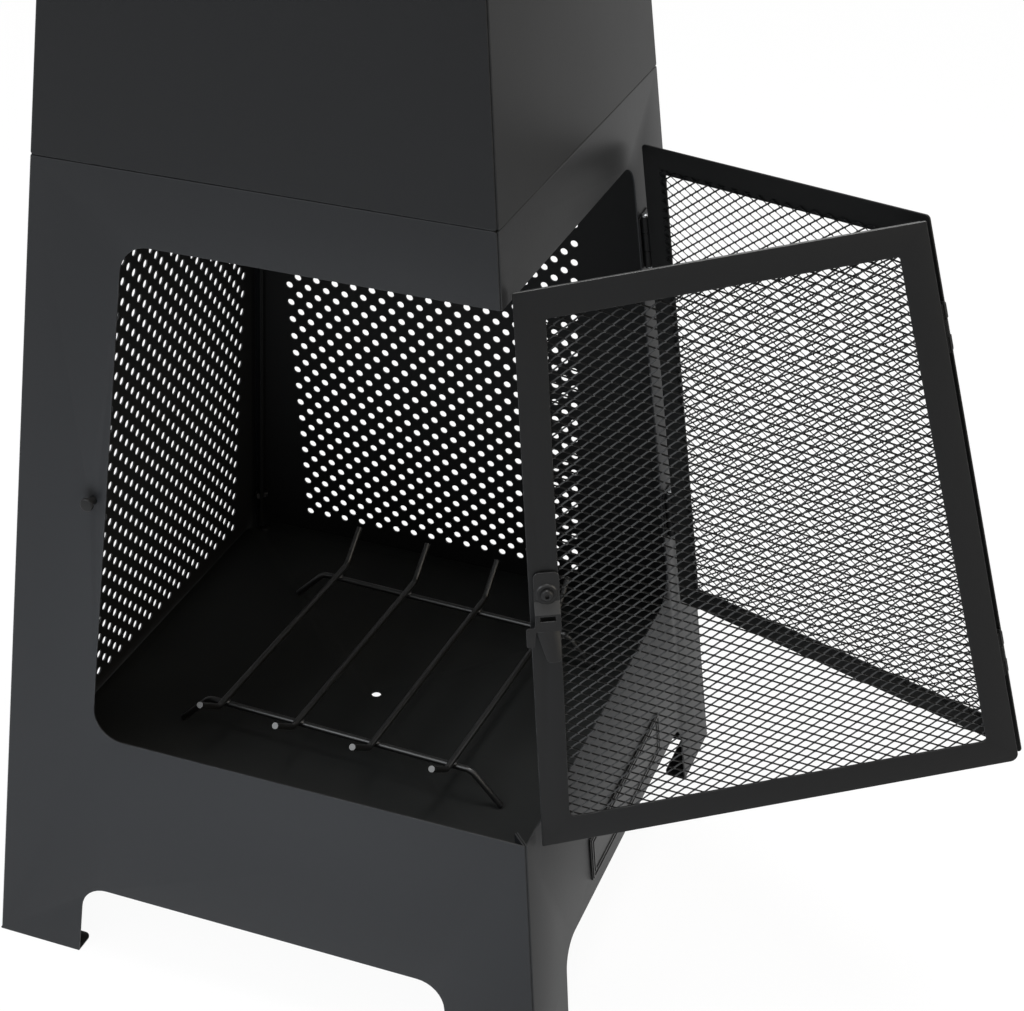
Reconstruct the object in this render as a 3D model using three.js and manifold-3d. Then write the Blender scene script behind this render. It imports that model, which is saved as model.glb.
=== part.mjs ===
// Outdoor fireplace of folded and bolted black sheet steel, in millimetres, +Z up.
// The origin is on the ground below the chimney's axis. The front face looks along -Y, the right face along +X.
// Two mesh leaves, hinged to each other, close the opening that runs round the front right corner.
// They are modelled as they stand open: the side leaf swung out, the front leaf folded in towards the body.
import * as THREE from "three";
import { mergeVertices } from "three/addons/utils/BufferGeometryUtils.js";
import Module from "manifold-3d";

const wasm = await Module();
wasm.setup();

// Body, from the ground up
const BASE_WIDTH = 400; // across two opposite faces at the ground
const TOP_WIDTH = 139.3; // the same at the chimney's top
const APRON_HEIGHT = 178.5; // ground to the opening's sill
const OPENING_HEIGHT = 341.2;
const BAND_HEIGHT = 44.3; // sheet above the opening, up to the chimney seam
const TIER_HEIGHT = 383; // each of the two chimney tiers
const SHEET = 1.2;
const CORNER_FLANGE = 15; // turned in along each corner's diagonal
const SEAM_FLANGE = 15; // turned in at the seams
const FOOT_FLANGE = 17; // turned in under the feet
const CORNER_JOINT = 0.6; // slit between two neighbouring corner flanges
const CLEARANCE = 0.3; // between pieces that touch
const CUT_OVERRUN = 20; // how far a cutter passes the sheet it cuts

// Opening and feet
const POST_WIDTH = 62.7; // sheet left beside the opening
const OPENING_RADIUS = 19.5;
const ARCH_HEIGHT = 56.3;
const FOOT_WIDTH = 62.5;
const ARCH_RADIUS = 20;
const FOOT_RADIUS = 5;

// Block of square openings in the rear and left panels, which stands for their fine round perforations
const GRID_FLOOR_RISE = 15.7; // floor's top to the lowest openings
const GRID_HEAD_DROP = 26; // opening's head down to the highest ones
const GRID_CORNER = 8.5; // openings to the rear left corner, at the block's top
const GRID_PLAIN = 63.7; // plain sheet on the openings' other side, at the block's top
const GRID_OPEN_SHARE = 0.5; // opening, as a share of the pitch

// Floor plate and the ledges under it
const FLOOR_DROP = 57.2; // opening's sill down to the floor
const FLOOR_SHEET = 1.5;
const FLOOR_GAP = 0.8; // floor plate to the sheets round it
const LEDGE_DEPTH = 26;
const LEDGE_STOP = 1; // ledge's end to the corner flange beside it
const DRAIN_RADIUS = 3.4;
const SCREW_INSET = 16; // floor screws in from the plate's edges
const FLANGE_ROOM = 1.8; // plate's cut corner to the corner flanges

// Fasteners
const BOLT_RADIUS = 2.4;
const BOLT_PLAY = 0.35; // hole's wall to the bolt
const BOLT_HEAD_RADIUS = 4;
const BOLT_HEAD_HEIGHT = 2.6;
const BOLT_TAIL = 1.5; // thread showing past the nut
const BOLT_ROOM = 0.5; // bolt head to the fold beside it
const LOW_BOLT_DROP = 28.5; // below the opening's sill
const HIGH_BOLT_RISE = 22.3; // above the opening's head
const SEAM_BOLT_INSET = 9; // in from the face

// Door leaves
const LEAF_PROUD = 3.5; // outer face of a closed leaf to the face of the body
const LEAF_SHEET = 1.5;
const LEAF_RAIL = 18;
const LEAF_RADIUS = 5;
const LEAF_WINDOW_RADIUS = 1.5;
const SIDE_LAP_LOW = 11.3; // side leaf over the sill
const SIDE_LAP_HIGH = 9.4; // side leaf over the opening's head
const SIDE_LAP_POST = 1.7; // side leaf over the rear post
const SIDE_CORNER_INSET = 2.7; // side leaf's free edge to the body's corner line
const SIDE_RAIL = 19.5;
const FRONT_LAP_LOW = 9.1;
const FRONT_LAP_HIGH = 8;
const FRONT_LAP_POST = 1.1;
const FRONT_CORNER_INSET = 3;
const OPEN_ANGLE = 61.57; // side leaf, from closed
const LEAF_REST = 4.7; // folded front leaf's free edge to the right face

// Mesh in the leaves
const MESH_SHEET = 1.2;
const MESH_WIDTH = 42; // of one diamond
const MESH_HEIGHT = 21.2;
const MESH_STRAND = 2.6;
const MESH_LEAST_SHARE = 0.3; // cut diamonds smaller than this share of a whole one stay closed

// Post hinges
const HINGE_ROOM = 1.1; // side leaf's edge to the barrel
const HINGE_LEAN_SHARE = 0.009; // extra lean of the hinge line, as a share of its rise
const HINGE_RADIUS = 3;
const HINGE_PIN_RADIUS = 1.4;
const PIN_PLAY = 0.35; // pin to the knuckles' bore
const HINGE_PLATE = 1;
const HINGE_HEIGHT = 36;
const HINGE_WINGS = 13; // each plate, from the hinge line
const HINGE_CORNER = 5.4; // fixed plate in front of the hinge line
const HINGE_KNUCKLE = 13; // the middle knuckle
const PIN_HEAD_RADIUS = 2.5;
const PIN_HEAD_HEIGHT = 1.6;
const HIGH_HINGE_DROP = 57.7; // below the opening's head
const LOW_HINGE_RISE = 67; // above the sill

// Corner hinges, inside the corner between the leaves
const CORNER_LINE_INSET = 0.6; // hinge line inside the body's corner line
const CORNER_HINGE_RADIUS = 2.2;
const CORNER_PIN_RADIUS = 1;
const CORNER_HINGE_HEIGHT = 30;
const CORNER_HINGE_KNUCKLE = 10;
const CORNER_HINGE_WING = 13;
const CORNER_PIN_HEAD_RADIUS = 1.8;
const CORNER_PIN_HEAD_HEIGHT = 1;

// Latch on the front leaf, and the pin it hooks
const LATCH_INSET = 10.4; // pivot to the leaf's free edge
const LATCH_DROP = 176.7; // pivot below the opening's head
const LATCH_WIDTH = 15.5;
const LATCH_SHEET = 1.5;
const LATCH_TOP = 15; // plate above the pivot
const LATCH_STEP_DROP = 7; // pivot to the step
const LATCH_STEP_LENGTH = 7;
const LATCH_STEP_OUT = 3;
const LATCH_LENGTH = 34.5; // pivot to the plate's lower end
const LATCH_HOOK_REACH = 17.5; // pivot to the hook's tip
const LATCH_HOOK_TOP = 19.5; // pivot to the hook's upper edge
const LATCH_SLOT_WIDTH = 10;
const LATCH_SLOT_HEIGHT = 3;
const LATCH_BOSS_RADIUS = 6.3;
const LATCH_BOSS_HEIGHT = 1;
const LATCH_HANDLE_WIDTH = 8.5;
const LATCH_HANDLE_LENGTH = 24;
const LATCH_HANDLE_OFFSET = 2.2; // handle's middle beside the pivot
const LATCH_HANDLE_BEND = 26; // degrees, outwards
const LATCH_NUT_HEIGHT = 2.6;
const SOCKET_RADIUS = 1.5;
const SOCKET_DEPTH = 1.4;
const CATCH_BESIDE = 9; // catch pin beside the opening's edge
const CATCH_DROP = 169.2; // below the opening's head
const CATCH_SHANK_RADIUS = 2.5;
const CATCH_HEAD_RADIUS = 5;
const CATCH_HEAD_HEIGHT = 3;
const CATCH_OUT = 9; // face of the body to the head's outer end

// Name plate, blank inside a double border
const PLATE_WIDTH = 155;
const PLATE_HEIGHT = 35;
const PLATE_BASE = 69; // lower edge above the ground
const PLATE_SHEET = 1;
const PLATE_BORDER = 1.6;
const PLATE_BORDER_INSET = 1.4;
const PLATE_BORDER_PITCH = 3.4;
const PLATE_BORDER_RISE = 0.6;
const PLATE_RADIUS = 2;

// Log grate of welded rod
const ROD_RADIUS = 2.5;
const GRATE_HEIGHT = 20; // middle of the cross rods above the floor
const GRATE_CROSS = 86.9; // cross rods to the grate's middle
const GRATE_LOGS = 4;
const GRATE_PITCH = 57.4; // between the log rods
const GRATE_SIDE = 13.3; // outer log rod to the bend of a cross rod
const GRATE_FOOT_RUN = 22.1; // bend to the foot's tip
const WELD_SINK = 0.6;
const REAR_RUN = 22.6; // log rod behind the rear cross rod before it turns up
const REAR_TIP_RUN = 38;
const REAR_TIP_RISE = 24;
const FRONT_RUN = 10;
const FRONT_TIP_RUN = 34;
const FRONT_TIP_RISE = 22;
const ROD_BEND = 9; // length of bend either side of a corner
const GRATE_X = 12.5;
const GRATE_Y = 4.2;
const GRATE_TURN = -2.13; // degrees

// Rain cap and its posts
const CAP_OVERHANG = 38.4; // past the chimney's top
const CAP_RISE = 48;
const CAP_RIM = 12;
const CAP_GAP = 55; // chimney's top to the cap's lower edge
const POST_STRAP = 2;
const POST_STRAP_WIDTH = 18;
const POST_INSET = 6; // strap's outer side to the chimney's face
const POST_TAB = 6.5;
const POST_TOP_TAB = 16;

// Fineness of round shapes, in counts
const ARC_STEPS = 4;
const ROUND_SIDES = 12;
const SMALL_SIDES = 8;
const HEX_SIDES = 6;
const ROD_SIDES = 8;
const ROD_STEPS = 26;
const GRID_COLUMNS = 8;
const GRID_ROWS = 12;

// Finishes
const POWDER = { color: 0x2b2c2e, roughness: 0.62, metalness: 0.35 };
const CHIMNEY = { color: 0x2e2f30, roughness: 0.6, metalness: 0.35 };
const DOOR = { color: 0x26272a, roughness: 0.55, metalness: 0.4 };
const NET = { color: 0x1c1d1f, roughness: 0.6, metalness: 0.4 };
const ROD = { color: 0x1b1b1c, roughness: 0.7, metalness: 0.3 };
const HARDWARE = { color: 0x323336, roughness: 0.42, metalness: 0.75 };
const BRIGHT = { color: 0x8d8f92, roughness: 0.35, metalness: 0.9 };

// Sizes that follow from the driving ones
const QUARTER = Math.PI / 2;
const DIAGONAL_SHARE = Math.SQRT1_2;
const OPENING_TOP = APRON_HEIGHT + OPENING_HEIGHT;
const SEAM_HEIGHT = OPENING_TOP + BAND_HEIGHT;
const TIER_SEAM = SEAM_HEIGHT + TIER_HEIGHT;
const CHIMNEY_TOP = TIER_SEAM + TIER_HEIGHT;
const TAPER_SHARE = (BASE_WIDTH - TOP_WIDTH) / 2 / CHIMNEY_TOP;
const LEAN = Math.atan(TAPER_SHARE);
const FLOOR_TOP = APRON_HEIGHT - FLOOR_DROP;
const LEDGE_TOP = FLOOR_TOP - FLOOR_SHEET - CLEARANCE;
const JOINT_SHIFT = CORNER_JOINT * DIAGONAL_SHARE;
const BOLT_HOLE_RADIUS = BOLT_RADIUS + BOLT_PLAY;
const BOLT_STACK = SHEET + CORNER_JOINT / 2 + CLEARANCE + BOLT_HEAD_HEIGHT; // flange slit to a bolt head's top
const CORNER_BOLT_INSET = BOLT_HEAD_RADIUS + SHEET / DIAGONAL_SHARE + BOLT_STACK + BOLT_ROOM;
const HINGE_PROUD = HINGE_RADIUS + CLEARANCE; // hinge line to the face of the body
const HINGE_BACK = HINGE_RADIUS + HINGE_ROOM + SIDE_LAP_POST; // hinge line behind the opening's edge
const HINGE_BORE = HINGE_PIN_RADIUS + PIN_PLAY;
const CORNER_HINGE_BORE = CORNER_PIN_RADIUS + PIN_PLAY;
const MESH_LAP = LEAF_RAIL - LATCH_INSET - BOLT_HEAD_RADIUS - CLEARANCE; // mesh behind the rails
const half = (z) => BASE_WIDTH / 2 - TAPER_SHARE * z;
const slope = (z) => z / Math.cos(LEAN);
const radians = THREE.MathUtils.degToRad;

// Tools for solids

function solid(geometry) {
  const plain = geometry.clone();
  plain.deleteAttribute("normal");
  plain.deleteAttribute("uv");
  const merged = mergeVertices(plain);
  return new wasm.Manifold(
    new wasm.Mesh({
      numProp: 3,
      vertProperties: merged.attributes.position.array,
      triVerts: new Uint32Array(merged.index.array),
    }),
  );
}

function facets(body) {
  const mesh = body.getMesh();
  const shared = new THREE.BufferGeometry();
  shared.setAttribute("position", new THREE.BufferAttribute(mesh.vertProperties, 3));
  shared.setIndex(new THREE.BufferAttribute(mesh.triVerts, 1));
  const flat = shared.toNonIndexed();
  flat.computeVertexNormals();
  return flat;
}

function piece(name, body, finish, parent) {
  const mesh = new THREE.Mesh(facets(body), new THREE.MeshStandardMaterial(finish));
  mesh.name = name;
  parent.add(mesh);
  return mesh;
}

// A closed outline through corners given as [x, y, radius]; a radius of 0 leaves a corner sharp.
function rounded(corners, steps = ARC_STEPS) {
  const points = [];
  corners.forEach(([x, y, radius], i) => {
    const here = new THREE.Vector2(x, y);
    if (!radius) {
      points.push(here);
      return;
    }
    const before = corners[(i + corners.length - 1) % corners.length];
    const after = corners[(i + 1) % corners.length];
    const back = new THREE.Vector2(before[0], before[1]).sub(here).normalize();
    const on = new THREE.Vector2(after[0], after[1]).sub(here).normalize();
    const halfAngle = Math.acos(THREE.MathUtils.clamp(back.dot(on), -1, 1)) / 2;
    const reach = radius / Math.tan(halfAngle);
    const middle = back.clone().add(on).normalize().multiplyScalar(radius / Math.sin(halfAngle)).add(here);
    const first = back.clone().multiplyScalar(reach).add(here).sub(middle);
    const last = on.clone().multiplyScalar(reach).add(here).sub(middle);
    const turn = Math.atan2(first.cross(last), first.dot(last));
    for (let k = 0; k <= steps; k += 1) {
      points.push(first.clone().rotateAround(new THREE.Vector2(), (turn * k) / steps).add(middle));
    }
  });
  return new THREE.Shape(points);
}

function plate(shape, thickness, low = 0) {
  return new THREE.ExtrudeGeometry(shape, { depth: thickness, bevelEnabled: false }).translate(0, 0, low);
}

// A block between two corners.
function block(x0, x1, y0, y1, z0, z1) {
  const box = new THREE.BoxGeometry(x1 - x0, y1 - y0, z1 - z0);
  return solid(box.translate((x0 + x1) / 2, (y0 + y1) / 2, (z0 + z1) / 2));
}

// A turned solid about Z; the profile is a list of [radius, height] from the axis back to the axis.
function turned(profile, sides = ROUND_SIDES) {
  const points = profile.map(([radius, height]) => new THREE.Vector2(radius, height));
  return solid(new THREE.LatheGeometry(points, sides).rotateX(QUARTER));
}

function rodOf(radius, low, high, sides = ROUND_SIDES) {
  return turned([[0, low], [radius, low], [radius, high], [0, high]], sides);
}

function joined(bodies) {
  return wasm.Manifold.union(bodies);
}

// Folded panels of the body, each made as the front one and turned to its side

// Everything drawn at the ground's size moves in towards the axis as it rises.
function tapered(shape, low, high) {
  const geometry = plate(shape, high - low, low);
  const places = geometry.attributes.position;
  for (let i = 0; i < places.count; i += 1) {
    const z = places.getZ(i);
    places.setX(i, places.getX(i) - Math.sign(places.getX(i)) * TAPER_SHARE * z);
    places.setY(i, places.getY(i) + TAPER_SHARE * z);
  }
  return solid(geometry);
}

// Plan of a panel at the ground: the face with a flange turned in along each corner's diagonal.
function panelPlan() {
  const edge = BASE_WIDTH / 2;
  const end = edge - JOINT_SHIFT;
  const reach = CORNER_FLANGE * DIAGONAL_SHARE;
  const wall = SHEET * DIAGONAL_SHARE;
  const right = [
    [end, -edge, 0],
    [end - reach, -edge + reach, 0],
    [end - reach - wall, -edge + reach - wall, 0],
    [end - SHEET - 2 * wall, -edge + SHEET, 0],
  ];
  const left = right.map(([x, y, radius]) => [-x, y, radius]).reverse();
  return rounded([...right, ...left]);
}

// A level flange turned in from the face, mitred at the corners.
function levelFlange(depth, low) {
  const edge = BASE_WIDTH / 2;
  const end = edge - JOINT_SHIFT;
  const plan = rounded([
    [-end, -edge, 0],
    [end, -edge, 0],
    [end - depth, -edge + depth, 0],
    [-end + depth, -edge + depth, 0],
  ]);
  return tapered(plan, low, low + SHEET);
}

function footFlange(side) {
  const edge = BASE_WIDTH / 2;
  const end = edge - JOINT_SHIFT;
  const plan = rounded([
    [side * (edge - FOOT_WIDTH), -edge, 0],
    [side * end, -edge, 0],
    [side * (end - FOOT_FLANGE), -edge + FOOT_FLANGE, 0],
    [side * (edge - FOOT_WIDTH), -edge + FOOT_FLANGE, FOOT_RADIUS],
  ]);
  return tapered(plan, 0, SHEET);
}

// A cut through the front face, drawn as it is seen from the front in x and z.
function faceCut(corners) {
  const depth = BASE_WIDTH / 2 + CUT_OVERRUN;
  return solid(plate(rounded(corners), depth).rotateX(QUARTER));
}

function archCut() {
  const foot = half(0) - FOOT_WIDTH;
  const top = half(ARCH_HEIGHT) - FOOT_WIDTH;
  const drop = half(-CUT_OVERRUN) - FOOT_WIDTH;
  return faceCut([
    [-drop, -CUT_OVERRUN, 0],
    [drop, -CUT_OVERRUN, 0],
    [foot, 0, 0],
    [top, ARCH_HEIGHT, ARCH_RADIUS],
    [-top, ARCH_HEIGHT, ARCH_RADIUS],
    [-foot, 0, 0],
  ]);
}

// The opening leaves a post on the side given and runs out past the other corner.
function openingCut(postSide) {
  const low = postSide * (half(APRON_HEIGHT) - POST_WIDTH);
  const high = postSide * (half(OPENING_TOP) - POST_WIDTH);
  const past = -postSide * (BASE_WIDTH / 2 + CUT_OVERRUN);
  return faceCut([
    [low, APRON_HEIGHT, OPENING_RADIUS],
    [past, APRON_HEIGHT, 0],
    [past, OPENING_TOP, 0],
    [high, OPENING_TOP, OPENING_RADIUS],
  ]);
}

// Where a corner bolt crosses the front right corner's diagonal, at a height.
function cornerBoltPlace(z) {
  const inset = CORNER_BOLT_INSET * DIAGONAL_SHARE;
  return new THREE.Vector3(half(z) - inset, -half(z) + inset, z);
}

// Bolt holes through both corner flanges of a panel, along the lines that cross the diagonals.
function cornerHoles(z) {
  const holes = [1, -1].map((side) => {
    const place = cornerBoltPlace(z);
    const drill = rodOf(BOLT_HOLE_RADIUS, -CUT_OVERRUN / 4, CUT_OVERRUN / 4, SMALL_SIDES);
    const turn = new THREE.Quaternion().setFromUnitVectors(
      new THREE.Vector3(0, 0, 1),
      new THREE.Vector3(side, 1, 0).normalize(),
    );
    return moved(drill, new THREE.Vector3(side * place.x, place.y, z), turn);
  });
  return joined(holes);
}

function moved(body, place, turn = new THREE.Quaternion()) {
  const matrix = new THREE.Matrix4().compose(place, turn, new THREE.Vector3(1, 1, 1));
  return body.transform(matrix.elements);
}

function seamHole(z) {
  const drill = rodOf(BOLT_HOLE_RADIUS, -CUT_OVERRUN / 2, CUT_OVERRUN / 2, SMALL_SIDES);
  return moved(drill, new THREE.Vector3(0, -half(z) + SEAM_BOLT_INSET, z));
}

const CORNER_BOLT_HEIGHTS = [APRON_HEIGHT - LOW_BOLT_DROP, OPENING_TOP + HIGH_BOLT_RISE];
const SCREW_AT = half(FLOOR_TOP) - SCREW_INSET;

// The ledge that carries one side of the floor plate.
function ledge() {
  const reach = half(LEDGE_TOP) - JOINT_SHIFT - CORNER_FLANGE * DIAGONAL_SHARE - LEDGE_STOP;
  const face = -half(LEDGE_TOP - SHEET) + SHEET / 2;
  const shelf = block(-reach, reach, face, -half(LEDGE_TOP) + LEDGE_DEPTH, LEDGE_TOP - SHEET, LEDGE_TOP);
  const holes = [1, -1].map((side) =>
    moved(
      rodOf(BOLT_HOLE_RADIUS, -CUT_OVERRUN / 2, CUT_OVERRUN / 2, SMALL_SIDES),
      new THREE.Vector3(side * SCREW_AT, -SCREW_AT, LEDGE_TOP),
    ),
  );
  return shelf.subtract(joined(holes));
}

// The block of openings, drawn in the face's plane: the same width from its lowest row to its highest.
// It starts beside the rear left corner, which is on the hand given.
function gridCut(hand) {
  const low = slope(FLOOR_TOP + GRID_FLOOR_RISE);
  const high = slope(OPENING_TOP - GRID_HEAD_DROP);
  const edge = half(OPENING_TOP - GRID_HEAD_DROP);
  const start = hand * (edge - GRID_CORNER);
  const across = (-hand * (2 * edge - GRID_CORNER - GRID_PLAIN)) / (GRID_COLUMNS - 1 + GRID_OPEN_SHARE);
  const up = (high - low) / (GRID_ROWS - 1 + GRID_OPEN_SHARE);
  const openings = [];
  for (let column = 0; column < GRID_COLUMNS; column += 1) {
    for (let row = 0; row < GRID_ROWS; row += 1) {
      const [x, y] = [column * across + start, row * up + low];
      const [end, top] = [x + across * GRID_OPEN_SHARE, y + up * GRID_OPEN_SHARE];
      openings.push(rounded([[x, y, 0], [end, y, 0], [end, top, 0], [x, top, 0]]));
    }
  }
  const cut = solid(plate(openings, CUT_OVERRUN / 2, -CUT_OVERRUN / 4));
  const lean = new THREE.Quaternion().setFromAxisAngle(new THREE.Vector3(1, 0, 0), QUARTER - LEAN);
  return moved(cut, new THREE.Vector3(0, -BASE_WIDTH / 2, 0), lean);
}

function fireboxPanel() {
  const shell = tapered(panelPlan(), 0, SEAM_HEIGHT);
  const whole = joined([
    shell.subtract(archCut()),
    footFlange(1),
    footFlange(-1),
    levelFlange(SEAM_FLANGE, SEAM_HEIGHT - SHEET),
  ]);
  const holes = joined([...CORNER_BOLT_HEIGHTS.map(cornerHoles), seamHole(SEAM_HEIGHT)]);
  return whole.subtract(holes);
}

function chimneyPanel(low, high) {
  const whole = joined([
    tapered(panelPlan(), low, high),
    levelFlange(SEAM_FLANGE, low),
    levelFlange(SEAM_FLANGE, high - SHEET),
  ]);
  return whole.subtract(joined([seamHole(low), seamHole(high)]));
}

// Fasteners

// A hex bolt with its nut, along Z, clamping from -grip to 0.
function boltAndNut(grip) {
  const head = rodOf(BOLT_HEAD_RADIUS, CLEARANCE, CLEARANCE + BOLT_HEAD_HEIGHT, HEX_SIDES);
  const nutTop = -grip - CLEARANCE;
  const nut = rodOf(BOLT_HEAD_RADIUS, nutTop - BOLT_HEAD_HEIGHT, nutTop, HEX_SIDES);
  const shank = rodOf(BOLT_RADIUS, nutTop - BOLT_HEAD_HEIGHT - BOLT_TAIL, CLEARANCE + BOLT_HEAD_HEIGHT / 2, SMALL_SIDES);
  return joined([head, nut, shank]);
}

// A domed screw with its nut, along Z, clamping from -grip to 0.
function screwAndNut(grip) {
  const top = CLEARANCE + BOLT_HEAD_HEIGHT;
  const nutTop = -grip - CLEARANCE;
  const head = turned([
    [0, CLEARANCE],
    [BOLT_HEAD_RADIUS, CLEARANCE],
    [BOLT_HEAD_RADIUS * 0.86, CLEARANCE + BOLT_HEAD_HEIGHT * 0.6],
    [BOLT_HEAD_RADIUS * 0.45, top],
    [0, top],
  ]);
  const nut = rodOf(BOLT_HEAD_RADIUS, nutTop - BOLT_HEAD_HEIGHT, nutTop, HEX_SIDES);
  const shank = rodOf(BOLT_RADIUS, nutTop - BOLT_HEAD_HEIGHT - BOLT_TAIL, CLEARANCE + BOLT_HEAD_HEIGHT / 2, SMALL_SIDES);
  return joined([head, nut, shank]);
}

// Floor plate with its corners cut clear of the corner flanges

function floorPlate() {
  const edge = half(FLOOR_TOP) - SHEET / Math.cos(LEAN) - FLOOR_GAP;
  const flangeTip = half(FLOOR_TOP - FLOOR_SHEET) - CORNER_FLANGE * DIAGONAL_SHARE;
  const cut = 2 * edge - 2 * flangeTip + FLANGE_ROOM / DIAGONAL_SHARE;
  const corners = [];
  for (const [sx, sy] of [[1, -1], [1, 1], [-1, 1], [-1, -1]]) {
    const along = [sx * (edge - cut), sy * edge, 0];
    const down = [sx * edge, sy * (edge - cut), 0];
    corners.push(...(sx * sy < 0 ? [along, down] : [down, along]));
  }
  const sheet = solid(plate(rounded(corners), FLOOR_SHEET, FLOOR_TOP - FLOOR_SHEET));
  const holes = [[0, 0, DRAIN_RADIUS]];
  for (const sx of [1, -1]) for (const sy of [1, -1]) holes.push([sx * SCREW_AT, sy * SCREW_AT, BOLT_HOLE_RADIUS]);
  const drills = holes.map(([x, y, radius]) =>
    moved(
      rodOf(radius, -CUT_OVERRUN / 2, CUT_OVERRUN / 2, SMALL_SIDES),
      new THREE.Vector3(x, y, FLOOR_TOP),
    ),
  );
  return sheet.subtract(joined(drills));
}

// Log grate: two cross rods with turned down feet, four log rods welded on top with turned up tips

// A round rod through points, with an eased bend at each inner one.
function bentRod(points) {
  const path = new THREE.CurvePath();
  let start = points[0];
  points.slice(1).forEach((point, i) => {
    const next = points[i + 2];
    if (!next) {
      path.add(new THREE.LineCurve3(start, point));
      return;
    }
    const into = point.clone().sub(points[i]).setLength(ROD_BEND);
    const out = next.clone().sub(point).setLength(ROD_BEND);
    const bendStart = point.clone().sub(into);
    const bendEnd = point.clone().add(out);
    path.add(new THREE.LineCurve3(start, bendStart));
    path.add(new THREE.QuadraticBezierCurve3(bendStart, point, bendEnd));
    start = bendEnd;
  });
  const section = new THREE.Shape().absarc(0, 0, ROD_RADIUS, 0, 2 * Math.PI);
  return solid(
    new THREE.ExtrudeGeometry(section, { steps: ROD_STEPS, curveSegments: ROD_SIDES / 2, extrudePath: path }),
  );
}

function logGrate() {
  const straight = ((GRATE_LOGS - 1) * GRATE_PITCH) / 2 + GRATE_SIDE;
  const foot = straight + GRATE_FOOT_RUN;
  const footLean = Math.atan2(GRATE_HEIGHT - ROD_RADIUS, GRATE_FOOT_RUN);
  const footHeight = CLEARANCE + ROD_RADIUS * Math.cos(footLean);
  const cross = [1, -1].map((side) =>
    bentRod([
      new THREE.Vector3(-foot, side * GRATE_CROSS, footHeight),
      new THREE.Vector3(-straight, side * GRATE_CROSS, GRATE_HEIGHT),
      new THREE.Vector3(straight, side * GRATE_CROSS, GRATE_HEIGHT),
      new THREE.Vector3(foot, side * GRATE_CROSS, footHeight),
    ]),
  );
  const level = GRATE_HEIGHT + 2 * ROD_RADIUS - WELD_SINK;
  const logs = Array.from({ length: GRATE_LOGS }, (_, place) => {
    const x = (place - (GRATE_LOGS - 1) / 2) * GRATE_PITCH;
    return bentRod([
      new THREE.Vector3(x, -GRATE_CROSS - FRONT_TIP_RUN, level + FRONT_TIP_RISE),
      new THREE.Vector3(x, -GRATE_CROSS - FRONT_RUN, level),
      new THREE.Vector3(x, GRATE_CROSS + REAR_RUN, level),
      new THREE.Vector3(x, GRATE_CROSS + REAR_TIP_RUN, level + REAR_TIP_RISE),
    ]);
  });
  return joined([...cross, ...logs]);
}

// Door leaves, drawn closed in the plane of their face: x along the face, y up its slope

// A leaf's four corners, given the x of its left and right edges at a height.
function leafCorners(low, high, leftAt, rightAt, inset, sideInset, radius) {
  const bottom = low + inset;
  const top = high - inset;
  return [
    [leftAt(bottom) + inset, slope(bottom), radius],
    [rightAt(bottom) - sideInset, slope(bottom), radius],
    [rightAt(top) - sideInset, slope(top), radius],
    [leftAt(top) + inset, slope(top), radius],
  ];
}

const SIDE_LEAF = {
  low: APRON_HEIGHT - SIDE_LAP_LOW,
  high: OPENING_TOP + SIDE_LAP_HIGH,
  left: (z) => -half(z) + SIDE_CORNER_INSET,
  right: (z) => hingeLineAt(z) - HINGE_BACK + SIDE_LAP_POST,
  rightRail: SIDE_RAIL,
};
const FRONT_LEAF = {
  low: APRON_HEIGHT - FRONT_LAP_LOW,
  high: OPENING_TOP + FRONT_LAP_HIGH,
  left: (z) => -half(z) + POST_WIDTH - FRONT_LAP_POST,
  right: (z) => half(z) - FRONT_CORNER_INSET,
  rightRail: LEAF_RAIL,
};
const OPENING_MIDDLE = APRON_HEIGHT + OPENING_HEIGHT / 2;

// The post hinge line's place along the right face at a height; it leans a little more than the post.
function hingeLineAt(z) {
  const straight = half(z) - POST_WIDTH + HINGE_BACK;
  return straight - HINGE_LEAN_SHARE * (z - OPENING_MIDDLE);
}

function leafOutline(leaf, inset, sideInset, radius) {
  return leafCorners(leaf.low, leaf.high, leaf.left, leaf.right, inset, sideInset, radius);
}

function leafFrame(leaf) {
  const low = LEAF_PROUD - LEAF_SHEET;
  const sheet = solid(plate(rounded(leafOutline(leaf, 0, 0, LEAF_RADIUS)), LEAF_SHEET, low));
  const window = rounded(leafOutline(leaf, LEAF_RAIL, leaf.rightRail, LEAF_WINDOW_RADIUS), 2);
  return sheet.subtract(solid(plate(window, LEAF_SHEET + CUT_OVERRUN, low - CUT_OVERRUN / 2)));
}

// The part of a convex outline that lies on the inner side of the line through two points.
function clipped(points, from, to) {
  const along = to.clone().sub(from);
  const side = (point) => along.cross(point.clone().sub(from));
  const kept = [];
  points.forEach((point, i) => {
    const next = points[(i + 1) % points.length];
    const here = side(point);
    const there = side(next);
    if (here >= 0) kept.push(point);
    if (here >= 0 !== there >= 0) kept.push(point.clone().lerp(next, here / (here - there)));
  });
  return kept.filter((point, i) => point.distanceTo(kept[(i + 1) % kept.length]) > CLEARANCE);
}

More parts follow.
